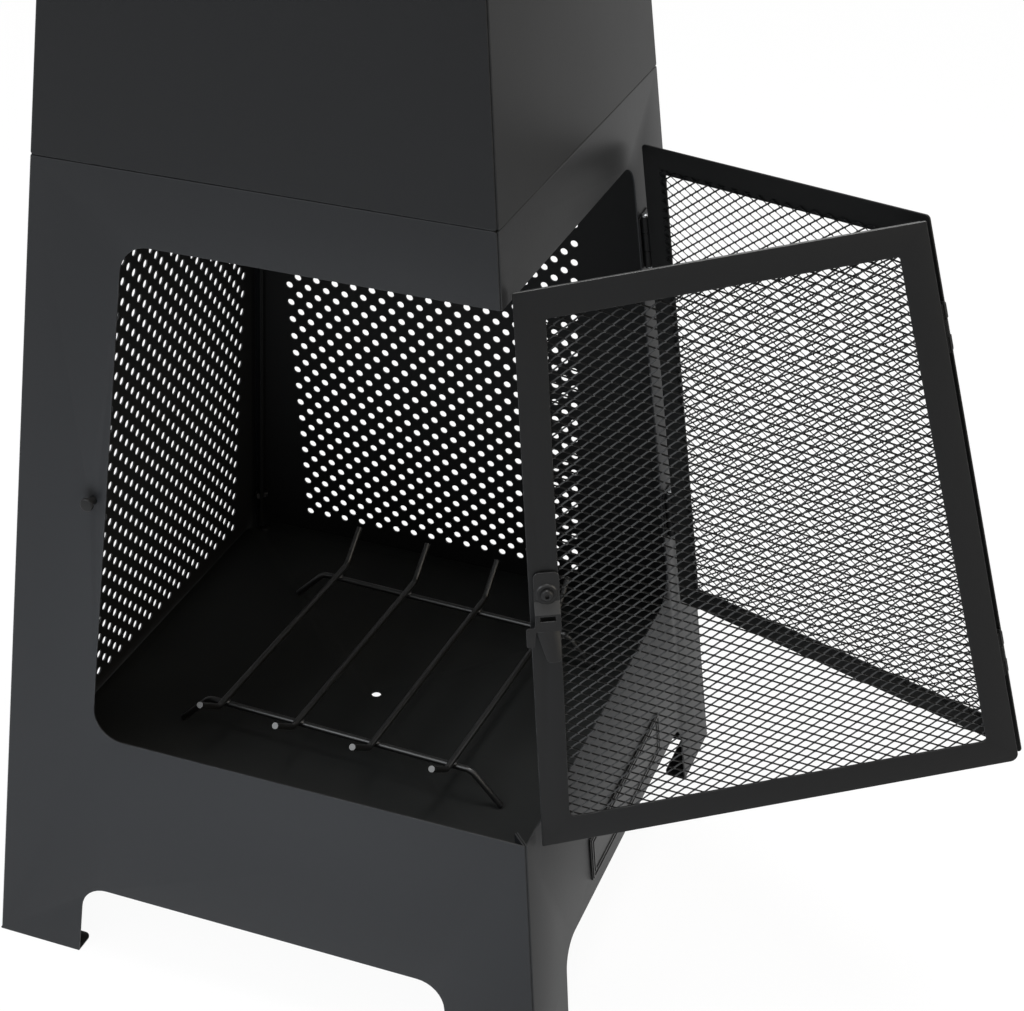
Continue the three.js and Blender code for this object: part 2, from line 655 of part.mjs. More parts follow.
// Flat net of diamonds behind a leaf's window; diamonds at its edge are cut by the rim.
function leafMesh(leaf) {
  const rim = MESH_LAP - MESH_STRAND;
  const low = LEAF_PROUD - LEAF_SHEET - CLEARANCE - MESH_SHEET;
  const outer = leafOutline(leaf, LEAF_RAIL - MESH_LAP, leaf.rightRail - MESH_LAP, 0);
  const inner = leafOutline(leaf, LEAF_RAIL - rim, leaf.rightRail - rim, 0);
  const border = inner.map(([x, y]) => new THREE.Vector2(x, y));
  const reach = { x: MESH_WIDTH / 2 - MESH_STRAND, y: MESH_HEIGHT / 2 - MESH_STRAND / 2 };
  const whole = 2 * reach.x * reach.y;
  const middle = border[0].clone().add(border[2]).divideScalar(2);
  const columns = Math.ceil(BASE_WIDTH / MESH_WIDTH);
  const rows = Math.ceil((2 * OPENING_HEIGHT) / MESH_HEIGHT);
  const gaps = [];
  for (let row = -rows; row <= rows; row += 1) {
    for (let column = -columns; column <= columns; column += 1) {
      const x = middle.x + (column + (row % 2 ? 1 / 2 : 0)) * MESH_WIDTH;
      const y = middle.y + (row * MESH_HEIGHT) / 2;
      let diamond = [
        new THREE.Vector2(x + reach.x, y),
        new THREE.Vector2(x, y + reach.y),
        new THREE.Vector2(x - reach.x, y),
        new THREE.Vector2(x, y - reach.y),
      ];
      border.forEach((corner, i) => {
        diamond = diamond.length ? clipped(diamond, corner, border[(i + 1) % border.length]) : diamond;
      });
      const area = diamond.length > 2 ? Math.abs(THREE.ShapeUtils.area(diamond)) : 0;
      if (area < MESH_LEAST_SHARE * whole) continue;
      gaps.push(solid(plate(new THREE.Shape(diamond), MESH_SHEET + CUT_OVERRUN, low - CUT_OVERRUN / 2)));
    }
  }
  return solid(plate(rounded(outer), MESH_SHEET, low)).subtract(joined(gaps));
}

// Hinges, drawn about their line along Y, with the face's outside along Z

function knuckle(radius, low, high) {
  return solid(new THREE.CylinderGeometry(radius, radius, high - low, ROUND_SIDES).translate(0, (low + high) / 2, 0));
}

// One plate of a hinge with its knuckles, and room for the knuckles of the other plate.
function hingeWing(x0, x1, z0, size, own, others) {
  const tall = size.height / 2;
  const room = size.radius + CLEARANCE;
  const gaps = others.map(([low, high]) =>
    block(-room, room, low - CLEARANCE, high + CLEARANCE, -size.radius - size.plate, size.radius + size.plate),
  );
  const wing = block(x0, x1, -tall, tall, z0, z0 + size.plate).subtract(joined(gaps));
  const knuckles = own.map(([low, high]) => knuckle(size.radius, low, high));
  return joined([wing, ...knuckles]).subtract(knuckle(size.bore, -tall - CUT_OVERRUN, tall + CUT_OVERRUN));
}

function knuckleSpans(size) {
  const tall = size.height / 2;
  const middle = size.knuckle / 2;
  return {
    ends: [[-tall, -middle - CLEARANCE], [middle + CLEARANCE, tall]],
    middle: [[-middle, middle]],
  };
}

function hingePin(size) {
  const tall = size.height / 2 + CLEARANCE;
  const head = knuckle(size.headRadius, tall, tall + size.headHeight);
  const foot = knuckle(size.headRadius, -tall - size.headHeight, -tall);
  return joined([knuckle(size.pin, -tall - size.headHeight / 2, tall + size.headHeight / 2), head, foot]);
}

const POST_HINGE = {
  radius: HINGE_RADIUS,
  bore: HINGE_BORE,
  pin: HINGE_PIN_RADIUS,
  plate: HINGE_PLATE,
  height: HINGE_HEIGHT,
  knuckle: HINGE_KNUCKLE,
  headRadius: PIN_HEAD_RADIUS,
  headHeight: PIN_HEAD_HEIGHT,
};
const CORNER_HINGE = {
  radius: CORNER_HINGE_RADIUS,
  bore: CORNER_HINGE_BORE,
  pin: CORNER_PIN_RADIUS,
  plate: HINGE_PLATE,
  height: CORNER_HINGE_HEIGHT,
  knuckle: CORNER_HINGE_KNUCKLE,
  headRadius: CORNER_PIN_HEAD_RADIUS,
  headHeight: CORNER_PIN_HEAD_HEIGHT,
};

// Latch lever about its pivot, hanging: x along the leaf, y up, z out of the leaf's face
function latchLever() {
  const edge = LATCH_WIDTH / 2;
  const back = CLEARANCE;
  const front = back + LATCH_STEP_OUT;
  const stepEnd = -LATCH_STEP_DROP - LATCH_STEP_LENGTH;
  const upper = solid(
    plate(
      rounded([
        [-edge, -LATCH_STEP_DROP, 0],
        [edge, -LATCH_STEP_DROP, 0],
        [edge, LATCH_TOP, edge - SHEET],
        [-edge, LATCH_TOP, edge - SHEET],
      ]),
      LATCH_SHEET,
      back,
    ),
  );
  const boss = rodOf(LATCH_BOSS_RADIUS, back, back + LATCH_SHEET + LATCH_BOSS_HEIGHT);
  const stepSide = new THREE.Shape([
    new THREE.Vector2(-LATCH_STEP_DROP, back),
    new THREE.Vector2(-LATCH_STEP_DROP, back + LATCH_SHEET),
    new THREE.Vector2(stepEnd, front + LATCH_SHEET),
    new THREE.Vector2(stepEnd, front),
  ]);
  const acrossTurn = new THREE.Matrix4().makeBasis(
    new THREE.Vector3(0, 1, 0),
    new THREE.Vector3(0, 0, 1),
    new THREE.Vector3(1, 0, 0),
  );
  const step = solid(plate(stepSide, LATCH_WIDTH).applyMatrix4(acrossTurn).translate(-edge, 0, 0));
  const hook = solid(
    plate(
      rounded([
        [-edge, stepEnd, 0],
        [-edge, -LATCH_HOOK_TOP, LATCH_SHEET],
        [-LATCH_HOOK_REACH, -LATCH_HOOK_TOP, LATCH_SHEET],
        [-LATCH_HOOK_REACH, -LATCH_LENGTH + LATCH_SHEET, LATCH_SHEET],
        [LATCH_HANDLE_OFFSET + LATCH_HANDLE_WIDTH / 2, -LATCH_LENGTH, 0],
        [edge, -LATCH_HOOK_TOP, 0],
        [edge, stepEnd, 0],
      ]),
      LATCH_SHEET,
      front,
    ),
  );
  const handleTop = -LATCH_LENGTH + LATCH_SHEET;
  const handleEdge = LATCH_HANDLE_WIDTH / 2;
  const handle = moved(
    solid(
      plate(
        rounded([
          [handleEdge, 0, 0],
          [-handleEdge, 0, 0],
          [-handleEdge, -LATCH_HANDLE_LENGTH, handleEdge - LATCH_SHEET / 4],
          [handleEdge, -LATCH_HANDLE_LENGTH, handleEdge - LATCH_SHEET / 4],
        ]),
        LATCH_SHEET,
      ),
    ),
    new THREE.Vector3(LATCH_HANDLE_OFFSET, handleTop, front),
    new THREE.Quaternion().setFromAxisAngle(new THREE.Vector3(1, 0, 0), -radians(LATCH_HANDLE_BEND)),
  );
  const slotTop = stepEnd - LATCH_SHEET;
  const slot = block(
    -LATCH_SLOT_WIDTH / 2, LATCH_SLOT_WIDTH / 2, slotTop - LATCH_SLOT_HEIGHT, slotTop, 0, front + CUT_OVERRUN,
  );
  const hole = rodOf(BOLT_HOLE_RADIUS, -CUT_OVERRUN, CUT_OVERRUN, SMALL_SIDES);
  return joined([upper, boss, step, hook, handle]).subtract(joined([slot, hole]));
}

// Button head bolt with a socket, through the lever and the leaf, with its nut behind.
function latchBolt() {
  const seat = CLEARANCE + LATCH_SHEET + LATCH_BOSS_HEIGHT + CLEARANCE;
  const top = seat + BOLT_HEAD_HEIGHT;
  const nutTop = -LEAF_SHEET - CLEARANCE;
  const head = turned([
    [0, seat],
    [BOLT_HEAD_RADIUS, seat],
    [BOLT_HEAD_RADIUS * 0.9, seat + BOLT_HEAD_HEIGHT * 0.6],
    [BOLT_HEAD_RADIUS * 0.55, top],
    [0, top],
  ]);
  const socket = rodOf(SOCKET_RADIUS, top - SOCKET_DEPTH, top + CUT_OVERRUN, HEX_SIDES);
  const nut = rodOf(BOLT_HEAD_RADIUS, nutTop - LATCH_NUT_HEIGHT, nutTop, HEX_SIDES);
  const shank = rodOf(BOLT_RADIUS, nutTop - LATCH_NUT_HEIGHT - CLEARANCE, seat + BOLT_HEAD_HEIGHT / 3, SMALL_SIDES);
  return joined([head.subtract(socket), nut, shank]);
}

// Mushroom pin on the front post, with its nut inside; z out of the face.
function catchPin() {
  const inner = -SHEET - CLEARANCE;
  return turned([
    [0, inner - BOLT_HEAD_HEIGHT - BOLT_TAIL],
    [BOLT_RADIUS, inner - BOLT_HEAD_HEIGHT - BOLT_TAIL],
    [BOLT_RADIUS, inner - BOLT_HEAD_HEIGHT],
    [BOLT_HEAD_RADIUS, inner - BOLT_HEAD_HEIGHT],
    [BOLT_HEAD_RADIUS, inner],
    [BOLT_RADIUS, inner],
    [BOLT_RADIUS, CLEARANCE],
    [CATCH_SHANK_RADIUS, CLEARANCE],
    [CATCH_SHANK_RADIUS, CATCH_OUT - CATCH_HEAD_HEIGHT],
    [CATCH_HEAD_RADIUS, CATCH_OUT - CATCH_HEAD_HEIGHT],
    [CATCH_HEAD_RADIUS, CATCH_OUT - CATCH_HEAD_HEIGHT / 3],
    [CATCH_HEAD_RADIUS * 0.7, CATCH_OUT],
    [0, CATCH_OUT],
  ]);
}

// Blank plate with two raised borders, its lower edge along x.
function namePlate() {
  const wide = PLATE_WIDTH / 2;
  const box = (inset, radius) =>
    rounded(
      [
        [-wide + inset, inset, radius],
        [wide - inset, inset, radius],
        [wide - inset, PLATE_HEIGHT - inset, radius],
        [-wide + inset, PLATE_HEIGHT - inset, radius],
      ],
      2,
    );
  const bodies = [solid(plate(box(0, PLATE_RADIUS), PLATE_SHEET, CLEARANCE))];
  const rise = PLATE_SHEET / 2 + PLATE_BORDER_RISE;
  for (const inset of [PLATE_BORDER_INSET, PLATE_BORDER_INSET + PLATE_BORDER_PITCH]) {
    const ring = box(inset, 0);
    ring.holes.push(box(inset + PLATE_BORDER, 0));
    bodies.push(solid(plate(ring, rise, CLEARANCE + PLATE_SHEET / 2)));
  }
  return joined(bodies);
}

// Rain cap: a low pyramid of sheet with a turned down rim
const CAP_WIDTH = TOP_WIDTH + 2 * CAP_OVERHANG;
const CAP_EAVE = CHIMNEY_TOP + CAP_GAP + CAP_RIM;
const CAP_PITCH_SHARE = CAP_RISE / (CAP_WIDTH / 2);
const CAP_WALL = SHEET * Math.hypot(1, CAP_PITCH_SHARE);
const capUnderside = (fromAxis) => CAP_EAVE - CAP_WALL + (CAP_WIDTH / 2 - fromAxis) * CAP_PITCH_SHARE;

function pyramid(halfWidth, rise, base) {
  const cone = new THREE.ConeGeometry(halfWidth / DIAGONAL_SHARE, rise, 4, 1, false, QUARTER / 2);
  return solid(cone.rotateX(QUARTER).translate(0, 0, base + rise / 2));
}

function rainCap() {
  const outer = CAP_WIDTH / 2;
  const inner = outer - SHEET;
  const low = CAP_EAVE - CAP_RIM;
  const skin = pyramid(outer, CAP_RISE, CAP_EAVE).add(block(-outer, outer, -outer, outer, low, CAP_EAVE));
  const innerBase = capUnderside(inner);
  const hollow = pyramid(inner, inner * CAP_PITCH_SHARE, innerBase);
  const mouth = block(-inner, inner, -inner, inner, low - CUT_OVERRUN, innerBase);
  return skin.subtract(hollow.add(mouth));
}

// Strap that carries the cap: a tab on the chimney's top flange, a rise and a tab along the cap's slope.
function capPost() {
  const outer = half(CHIMNEY_TOP) - POST_INSET;
  const inner = outer - POST_STRAP;
  const low = CHIMNEY_TOP + CLEARANCE;
  const slopeBack = POST_STRAP * CAP_PITCH_SHARE;
  const top = (y) => capUnderside(y) - CLEARANCE * Math.hypot(1, CAP_PITCH_SHARE);
  const thick = POST_STRAP * Math.hypot(1, CAP_PITCH_SHARE);
  const tip = inner - POST_TOP_TAB;
  const side = new THREE.Shape([
    new THREE.Vector2(outer, low),
    new THREE.Vector2(outer, top(outer)),
    new THREE.Vector2(tip, top(tip)),
    new THREE.Vector2(tip - slopeBack / 2, top(tip) - thick),
    new THREE.Vector2(inner, top(inner) - thick),
    new THREE.Vector2(inner, low + POST_STRAP),
    new THREE.Vector2(inner - POST_TAB, low + POST_STRAP),
    new THREE.Vector2(inner - POST_TAB, low),
  ]);
  const across = new THREE.Matrix4().makeBasis(
    new THREE.Vector3(0, -1, 0),
    new THREE.Vector3(0, 0, 1),
    new THREE.Vector3(-1, 0, 0),
  );
  return solid(plate(side, POST_STRAP_WIDTH, -POST_STRAP_WIDTH / 2).applyMatrix4(across));
}

// Placing: groups that hold a face's plane, and groups turned about a hinge line

const fireplace = new THREE.Group();

// A group whose x runs along a face, y up its slope and z out of it; side 0 is the front, 1 the right.
function faceOf(side, parent) {
  const around = new THREE.Group();
  around.rotation.z = side * QUARTER;
  const face = new THREE.Group();
  face.position.y = -BASE_WIDTH / 2;
  face.rotation.x = QUARTER - LEAN;
  around.add(face);
  parent.add(around);
  return face;
}

function turnedAbout(point, axis, angle, parent) {
  const hinge = new THREE.Group();
  hinge.position.copy(point);
  hinge.quaternion.setFromAxisAngle(axis.clone().normalize(), angle);
  const inner = new THREE.Group();
  inner.position.copy(point).negate();
  hinge.add(inner);
  parent.add(hinge);
  return inner;
}

function placed(parent, x, y, z, turn = 0) {
  const group = new THREE.Group();
  group.position.set(x, y, z);
  group.rotation.z = turn;
  parent.add(group);
  return group;
}

// Body panels
const SIDES = ["front", "right", "back", "left"];
const catchHeight = OPENING_TOP - CATCH_DROP;
const catchAlong = -half(catchHeight) + POST_WIDTH - CATCH_BESIDE;
const catchHole = moved(
  rodOf(BOLT_HOLE_RADIUS, -CUT_OVERRUN / 2, CUT_OVERRUN / 2, SMALL_SIDES),
  new THREE.Vector3(catchAlong, -half(catchHeight), catchHeight),
  new THREE.Quaternion().setFromAxisAngle(new THREE.Vector3(1, 0, 0), QUARTER - LEAN),
);
SIDES.forEach((name, side) => {
  let body = fireboxPanel();
  if (side % 2 === 0) body = body.add(ledge());
  if (side === 0) body = body.subtract(openingCut(-1)).subtract(catchHole);
  if (side === 1) body = body.subtract(openingCut(1));
  if (side === 2) body = body.subtract(gridCut(1));
  if (side === 3) body = body.subtract(gridCut(-1));
  piece(`${name}_panel`, body, POWDER, fireplace).rotation.z = side * QUARTER;
  const lower = chimneyPanel(SEAM_HEIGHT + CLEARANCE, TIER_SEAM);
  piece(`chimney_lower_${name}`, lower, CHIMNEY, fireplace).rotation.z = side * QUARTER;
  const upper = chimneyPanel(TIER_SEAM + CLEARANCE, CHIMNEY_TOP);
  piece(`chimney_upper_${name}`, upper, CHIMNEY, fireplace).rotation.z = side * QUARTER;
  piece(`cap_post_${name}`, capPost(), CHIMNEY, fireplace).rotation.z = side * QUARTER;
});
piece("rain_cap", rainCap(), CHIMNEY, fireplace);

// Bolts through the corner flanges and the seams
const CORNERS = ["front_right", "rear_right", "rear_left", "front_left"];
const cornerGrip = 2 * SHEET + CORNER_JOINT;
CORNERS.forEach((name, corner) => {
  ["low", "high"].forEach((level, i) => {
    const around = new THREE.Group();
    around.rotation.z = corner * QUARTER;
    fireplace.add(around);
    const bolt = piece(`bolt_${level}_${name}`, boltAndNut(cornerGrip), HARDWARE, around);
    const across = new THREE.Vector3(1, 1, 0).normalize();
    bolt.quaternion.setFromUnitVectors(new THREE.Vector3(0, 0, 1), across);
    bolt.position.copy(cornerBoltPlace(CORNER_BOLT_HEIGHTS[i])).addScaledVector(across, cornerGrip / 2);
  });
});
const seamGrip = 2 * SHEET + CLEARANCE;
SIDES.forEach((name, side) => {
  [["seam", SEAM_HEIGHT], ["tier", TIER_SEAM]].forEach(([seam, z]) => {
    const around = new THREE.Group();
    around.rotation.z = side * QUARTER;
    fireplace.add(around);
    const bolt = piece(`bolt_${seam}_${name}`, boltAndNut(seamGrip), HARDWARE, around);
    bolt.position.set(0, -half(z) + SEAM_BOLT_INSET, z + CLEARANCE + SHEET);
  });
});

// Floor, its screws and the grate that stands on it
piece("floor_plate", floorPlate(), POWDER, fireplace);
CORNERS.forEach((name, corner) => {
  const screw = piece(`floor_screw_${name}`, screwAndNut(FLOOR_SHEET + CLEARANCE + SHEET), HARDWARE, fireplace);
  const x = corner < 2 ? SCREW_AT : -SCREW_AT;
  const y = corner === 0 || corner === 3 ? -SCREW_AT : SCREW_AT;
  screw.position.set(x, y, FLOOR_TOP);
});
const grate = piece("log_grate", logGrate(), ROD, fireplace);
grate.position.set(GRATE_X, GRATE_Y, FLOOR_TOP);
grate.rotation.z = radians(GRATE_TURN);

// Catch pin and name plate
const frontFace = faceOf(0, fireplace);
const rightFace = faceOf(1, fireplace);
piece("catch_pin", catchPin(), HARDWARE, placed(frontFace, catchAlong, slope(catchHeight), 0));
piece("name_plate", namePlate(), HARDWARE, placed(rightFace, 0, slope(PLATE_BASE), 0));

// The front leaf folds in until its free edge comes this near the right face, in plan at the leaf's foot.
function foldAngle() {
  const z = FRONT_LEAF.low;
  const corner = half(z) - CORNER_LINE_INSET;
  const sideWidth = hingeLineAt(z) + corner;
  const frontWidth = corner - FRONT_LEAF.left(z);
  const open = radians(OPEN_ANGLE);
  return Math.asin((HINGE_PROUD + sideWidth * Math.sin(open) - LEAF_REST) / frontWidth) + open - QUARTER;
}

// Hinge lines: the post's one beside the opening, and the corner's one between the leaves
const postLine = {
  point: new THREE.Vector3(
    half(OPENING_MIDDLE) + HINGE_PROUD / Math.cos(LEAN),
    hingeLineAt(OPENING_MIDDLE),
    OPENING_MIDDLE,
  ),
  axis: new THREE.Vector3(-TAPER_SHARE, -TAPER_SHARE - HINGE_LEAN_SHARE, 1),
};
const cornerLine = {
  point: new THREE.Vector3(
    half(OPENING_MIDDLE) - CORNER_LINE_INSET,
    -half(OPENING_MIDDLE) + CORNER_LINE_INSET,
    OPENING_MIDDLE,
  ),
  axis: new THREE.Vector3(-TAPER_SHARE, TAPER_SHARE, 1),
};
const swung = turnedAbout(postLine.point, postLine.axis, radians(OPEN_ANGLE), fireplace);
const folded = turnedAbout(cornerLine.point, cornerLine.axis, -foldAngle(), swung);
const sideFace = faceOf(1, swung);
const foldFace = faceOf(0, folded);

// Leaves
const latchHeight = OPENING_TOP - LATCH_DROP;
const latchAlong = FRONT_LEAF.left(latchHeight) + LATCH_INSET;
const latchHole = moved(
  rodOf(BOLT_HOLE_RADIUS, -CUT_OVERRUN, CUT_OVERRUN, SMALL_SIDES),
  new THREE.Vector3(latchAlong, slope(latchHeight), 0),
);
piece("side_leaf_frame", leafFrame(SIDE_LEAF), DOOR, sideFace);
piece("side_leaf_mesh", leafMesh(SIDE_LEAF), NET, sideFace);
piece("front_leaf_frame", leafFrame(FRONT_LEAF).subtract(latchHole), DOOR, foldFace);
piece("front_leaf_mesh", leafMesh(FRONT_LEAF), NET, foldFace);

// Hinges at two heights on each line
const postHingeHeights = { upper: OPENING_TOP - HIGH_HINGE_DROP, lower: APRON_HEIGHT + LOW_HINGE_RISE };
const postLean = Math.atan((TAPER_SHARE + HINGE_LEAN_SHARE) * Math.cos(LEAN));
const cornerLean = Math.atan(TAPER_SHARE * Math.cos(LEAN));
const cornerDepth = -CORNER_LINE_INSET * Math.cos(LEAN);
const postSpans = knuckleSpans(POST_HINGE);
const cornerSpans = knuckleSpans(CORNER_HINGE);
const leafBack = LEAF_PROUD - LEAF_SHEET - CLEARANCE - HINGE_PLATE;
for (const [level, z] of Object.entries(postHingeHeights)) {
  const along = hingeLineAt(z);
  const fixed = placed(rightFace, along, slope(z), HINGE_PROUD, postLean);
  const moving = placed(sideFace, along, slope(z), HINGE_PROUD, postLean);
  const fixedWing = hingeWing(
    -HINGE_CORNER, HINGE_WINGS, CLEARANCE - HINGE_PROUD, POST_HINGE, postSpans.ends, postSpans.middle,
  );
  const movingWing = hingeWing(
    -HINGE_WINGS, 0, LEAF_PROUD + CLEARANCE - HINGE_PROUD, POST_HINGE, postSpans.middle, postSpans.ends,
  );
  piece(`post_hinge_${level}_fixed`, fixedWing, HARDWARE, fixed);
  piece(`post_hinge_${level}_moving`, movingWing, HARDWARE, moving);
  piece(`post_hinge_${level}_pin`, hingePin(POST_HINGE), BRIGHT, fixed);

  const corner = half(z) - CORNER_LINE_INSET;
  const onSide = placed(sideFace, -corner, slope(z), cornerDepth, -cornerLean);
  const onFront = placed(foldFace, corner, slope(z), cornerDepth, cornerLean);
  const sideWing = hingeWing(
    0, CORNER_HINGE_WING, leafBack - cornerDepth, CORNER_HINGE, cornerSpans.ends, cornerSpans.middle,
  );
  const frontWing = hingeWing(
    -CORNER_HINGE_WING, 0, leafBack - cornerDepth, CORNER_HINGE, cornerSpans.middle, cornerSpans.ends,
  );
  piece(`corner_hinge_${level}_side`, sideWing, HARDWARE, onSide);
  piece(`corner_hinge_${level}_front`, frontWing, HARDWARE, onFront);
  piece(`corner_hinge_${level}_pin`, hingePin(CORNER_HINGE), BRIGHT, onSide);
}

// Latch
const latchFrame = placed(foldFace, latchAlong, slope(latchHeight), LEAF_PROUD);
piece("latch_lever", latchLever(), HARDWARE, latchFrame);
piece("latch_bolt", latchBolt(), HARDWARE, latchFrame);

export default fireplace;
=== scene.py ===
import logging
from collections.abc import Callable, Iterable, Sequence
from dataclasses import dataclass, field, replace
from enum import Enum
from functools import cache, cached_property
from math import acos, asin, atan, atan2, cos, pi, radians, sin, sqrt, tan
from typing import Any

import bmesh
import bpy
from mathutils import Matrix, Vector


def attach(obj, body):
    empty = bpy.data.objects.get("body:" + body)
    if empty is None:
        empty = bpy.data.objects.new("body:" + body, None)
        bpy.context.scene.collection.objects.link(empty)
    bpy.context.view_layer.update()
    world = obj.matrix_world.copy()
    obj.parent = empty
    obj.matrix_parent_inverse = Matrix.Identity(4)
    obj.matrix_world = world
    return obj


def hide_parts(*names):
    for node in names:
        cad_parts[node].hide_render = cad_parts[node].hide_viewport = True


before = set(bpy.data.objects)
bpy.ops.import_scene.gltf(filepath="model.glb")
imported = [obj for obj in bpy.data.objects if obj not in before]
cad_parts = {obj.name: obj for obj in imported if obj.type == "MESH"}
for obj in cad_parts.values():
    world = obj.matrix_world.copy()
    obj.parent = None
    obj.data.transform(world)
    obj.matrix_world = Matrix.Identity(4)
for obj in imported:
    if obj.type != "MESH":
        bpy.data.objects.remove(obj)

log = logging.getLogger("outdoor_fireplace")

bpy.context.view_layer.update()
Corner = tuple[float, float, float]
Four = tuple[float, float, float, float]
Span = tuple[float, float]
Profile = Sequence[Span]
Places = list[tuple[Vector, Vector]]
Socket = bpy.types.NodeSocket

DIAGONAL = sqrt(0.5)
UP = Vector((0, 0, 1))
WHITE = (1.0, 1.0, 1.0, 1.0)
CAD_MERGE, CAD_FLAT = 2e-6, radians(0.6)
CUT_MERGE, CUT_FLAT = 1e-6, radians(0.4)
HAIR = 1e-5
CORNERS = {"front_right": (1, -1), "rear_right": (1, 1), "rear_left": (-1, 1), "front_left": (-1, -1)}


class Body(Enum):
    """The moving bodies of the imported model."""

    FIREPLACE = "body"
    SIDE_LEAF = "side_leaf"
    FRONT_LEAF = "front_leaf"
    LATCH = "latch"
    GRATE = "grate"


class Side(Enum):
    """The four faces, counted round from the front as seen from above."""

    FRONT = 0
    RIGHT = 1
    BACK = 2
    LEFT = 3

    @property
    def label(self) -> str:
        """The face's name in the names of the CAD nodes."""
        return self.name.lower()

    @property
    def turn(self) -> Matrix:
        """Turn from the front to this face."""
        return Matrix.Rotation(self.value * pi / 2, 4, "Z")


@dataclass(frozen=True)
class Envelope:
    """Sizes that the whole fireplace shares, in metres, and the places that follow from them."""

    base_width: float = 0.400
    top_width: float = 0.1393
    apron_height: float = 0.1785
    opening_height: float = 0.3412
    band_height: float = 0.0443
    tier_height: float = 0.383
    sheet: float = 0.0012
    corner_flange: float = 0.015
    seam_flange: float = 0.015
    foot_flange: float = 0.017
    corner_joint: float = 0.0001
    clearance: float = 0.0003
    post_width: float = 0.0627
    floor_drop: float = 0.0572
    hinge_proud: float = 0.0033
    hinge_back: float = 0.0058
    hinge_lean_share: float = 0.009
    corner_line_inset: float = 0.0006
    open_angle: float = 61.57
    leaf_rest: float = 0.0047

    @property
    def opening_top(self) -> float:
        """Height of the opening's head."""
        return self.apron_height + self.opening_height

    @property
    def seam(self) -> float:
        """Height of the seam between the firebox and the chimney."""
        return self.opening_top + self.band_height

    @property
    def tier_seam(self) -> float:
        """Height of the seam between the two chimney tiers."""
        return self.seam + self.tier_height

    @property
    def chimney_top(self) -> float:
        """Height of the chimney's upper edge."""
        return self.tier_seam + self.tier_height

    @property
    def floor_top(self) -> float:
        """Height of the floor plate's upper side."""
        return self.apron_height - self.floor_drop

    @property
    def taper(self) -> float:
        """How far each face moves in for each metre of height."""
        return (self.base_width - self.top_width) / 2 / self.chimney_top

    @property
    def corner_end(self) -> float:
        """Half width of a panel at the ground, up to the joint in its corner."""
        return self.base_width / 2 - self.corner_joint * DIAGONAL

    @property
    def lean(self) -> float:
        """Angle between a face and the upright, in radians."""
        return atan(self.taper)

    def half(self, z: float) -> float:
        """Distance of a face from the axis at a height."""
        return self.base_width / 2 - self.taper * z

    def slope(self, z: float) -> float:
        """Distance up the face for a height."""
        return z / cos(self.lean)

    def hinge_line(self, z: float) -> float:
        """Place of the post hinge line along the right face at a height."""
        middle = self.apron_height + self.opening_height / 2
        straight = self.half(z) - self.post_width + self.hinge_back
        return straight - self.hinge_lean_share * (z - middle)

    def face(self, side: Side) -> Matrix:
        """Matrix from a face's plane (along, up the slope, out) to the fireplace."""
        lay = Matrix.Translation((0, -self.base_width / 2, 0))
        return side.turn @ lay @ Matrix.Rotation(pi / 2 - self.lean, 4, "X")

    @staticmethod
    def about(point: Vector, axis: Vector, angle: float) -> Matrix:
        """Matrix of a turn about a line."""
        turn = Matrix.Rotation(angle, 4, axis.normalized())
        return Matrix.Translation(point) @ turn @ Matrix.Translation(-point)

    @cached_property
    def swung(self) -> Matrix:
        """Turn of the side leaf from closed to its open rest."""
        z = self.apron_height + self.opening_height / 2
        point = Vector((self.half(z) + self.hinge_proud / cos(self.lean), self.hinge_line(z), z))
        axis = Vector((-self.taper, -self.taper - self.hinge_lean_share, 1))
        return self.about(point, axis, radians(self.open_angle))

    @property
    def side_leaf(self) -> Matrix:
        """Matrix from the closed side leaf's plane to its open rest."""
        return self.swung @ self.face(Side.RIGHT)

    def front_leaf(self, foot: float, free_edge: float) -> Matrix:
        """Matrix from the closed front leaf's plane to its folded rest.

        Args:
            foot: Height of the leaf's lower edge.
            free_edge: Place of the leaf's free edge along the front face at its foot.

        Returns:
            The matrix, with the leaf folded in until its free edge almost meets the right face.
        """
        corner = self.half(foot) - self.corner_line_inset
        side_width = self.hinge_line(foot) + corner
        opened = radians(self.open_angle)
        reach = self.hinge_proud + side_width * sin(opened) - self.leaf_rest
        fold = asin(reach / (corner - free_edge)) + opened - pi / 2
        z = self.apron_height + self.opening_height / 2
        edge = self.half(z) - self.corner_line_inset
        axis = Vector((-self.taper, self.taper, 1))
        return self.swung @ self.about(Vector((edge, -edge, z)), axis, -fold) @ self.face(Side.FRONT)


SIZES = Envelope()


def rounded(corners: Sequence[Corner], steps: int = 8) -> list[Vector]:
    """Makes an outline through corners, with arcs where a corner has a radius.

    Args:
        corners: Corners as (x, y, radius); a radius of 0 leaves a corner sharp.
        steps: Number of chords in each arc.

    Returns:
        The outline's points in order.
    """
    points: list[Vector] = []
    for i, (x, y, radius) in enumerate(corners):
        here = Vector((x, y))
        if not radius:
            points.append(here)
            continue
        back = (Vector(corners[i - 1][:2]) - here).normalized()
        on = (Vector(corners[(i + 1) % len(corners)][:2]) - here).normalized()
        half_angle = acos(max(-1.0, min(1.0, back.dot(on)))) / 2
        reach = radius / tan(half_angle)
        middle = here + (back + on).normalized() * (radius / sin(half_angle))
        first = here + back * reach - middle
        last = here + on * reach - middle
        turn = atan2(first.x * last.y - first.y * last.x, first.dot(last))
        for k in range(steps + 1):
            a = turn * k / steps
            spoke = Vector((first.x * cos(a) - first.y * sin(a), first.x * sin(a) + first.y * cos(a)))
            points.append(middle + spoke)
    return points


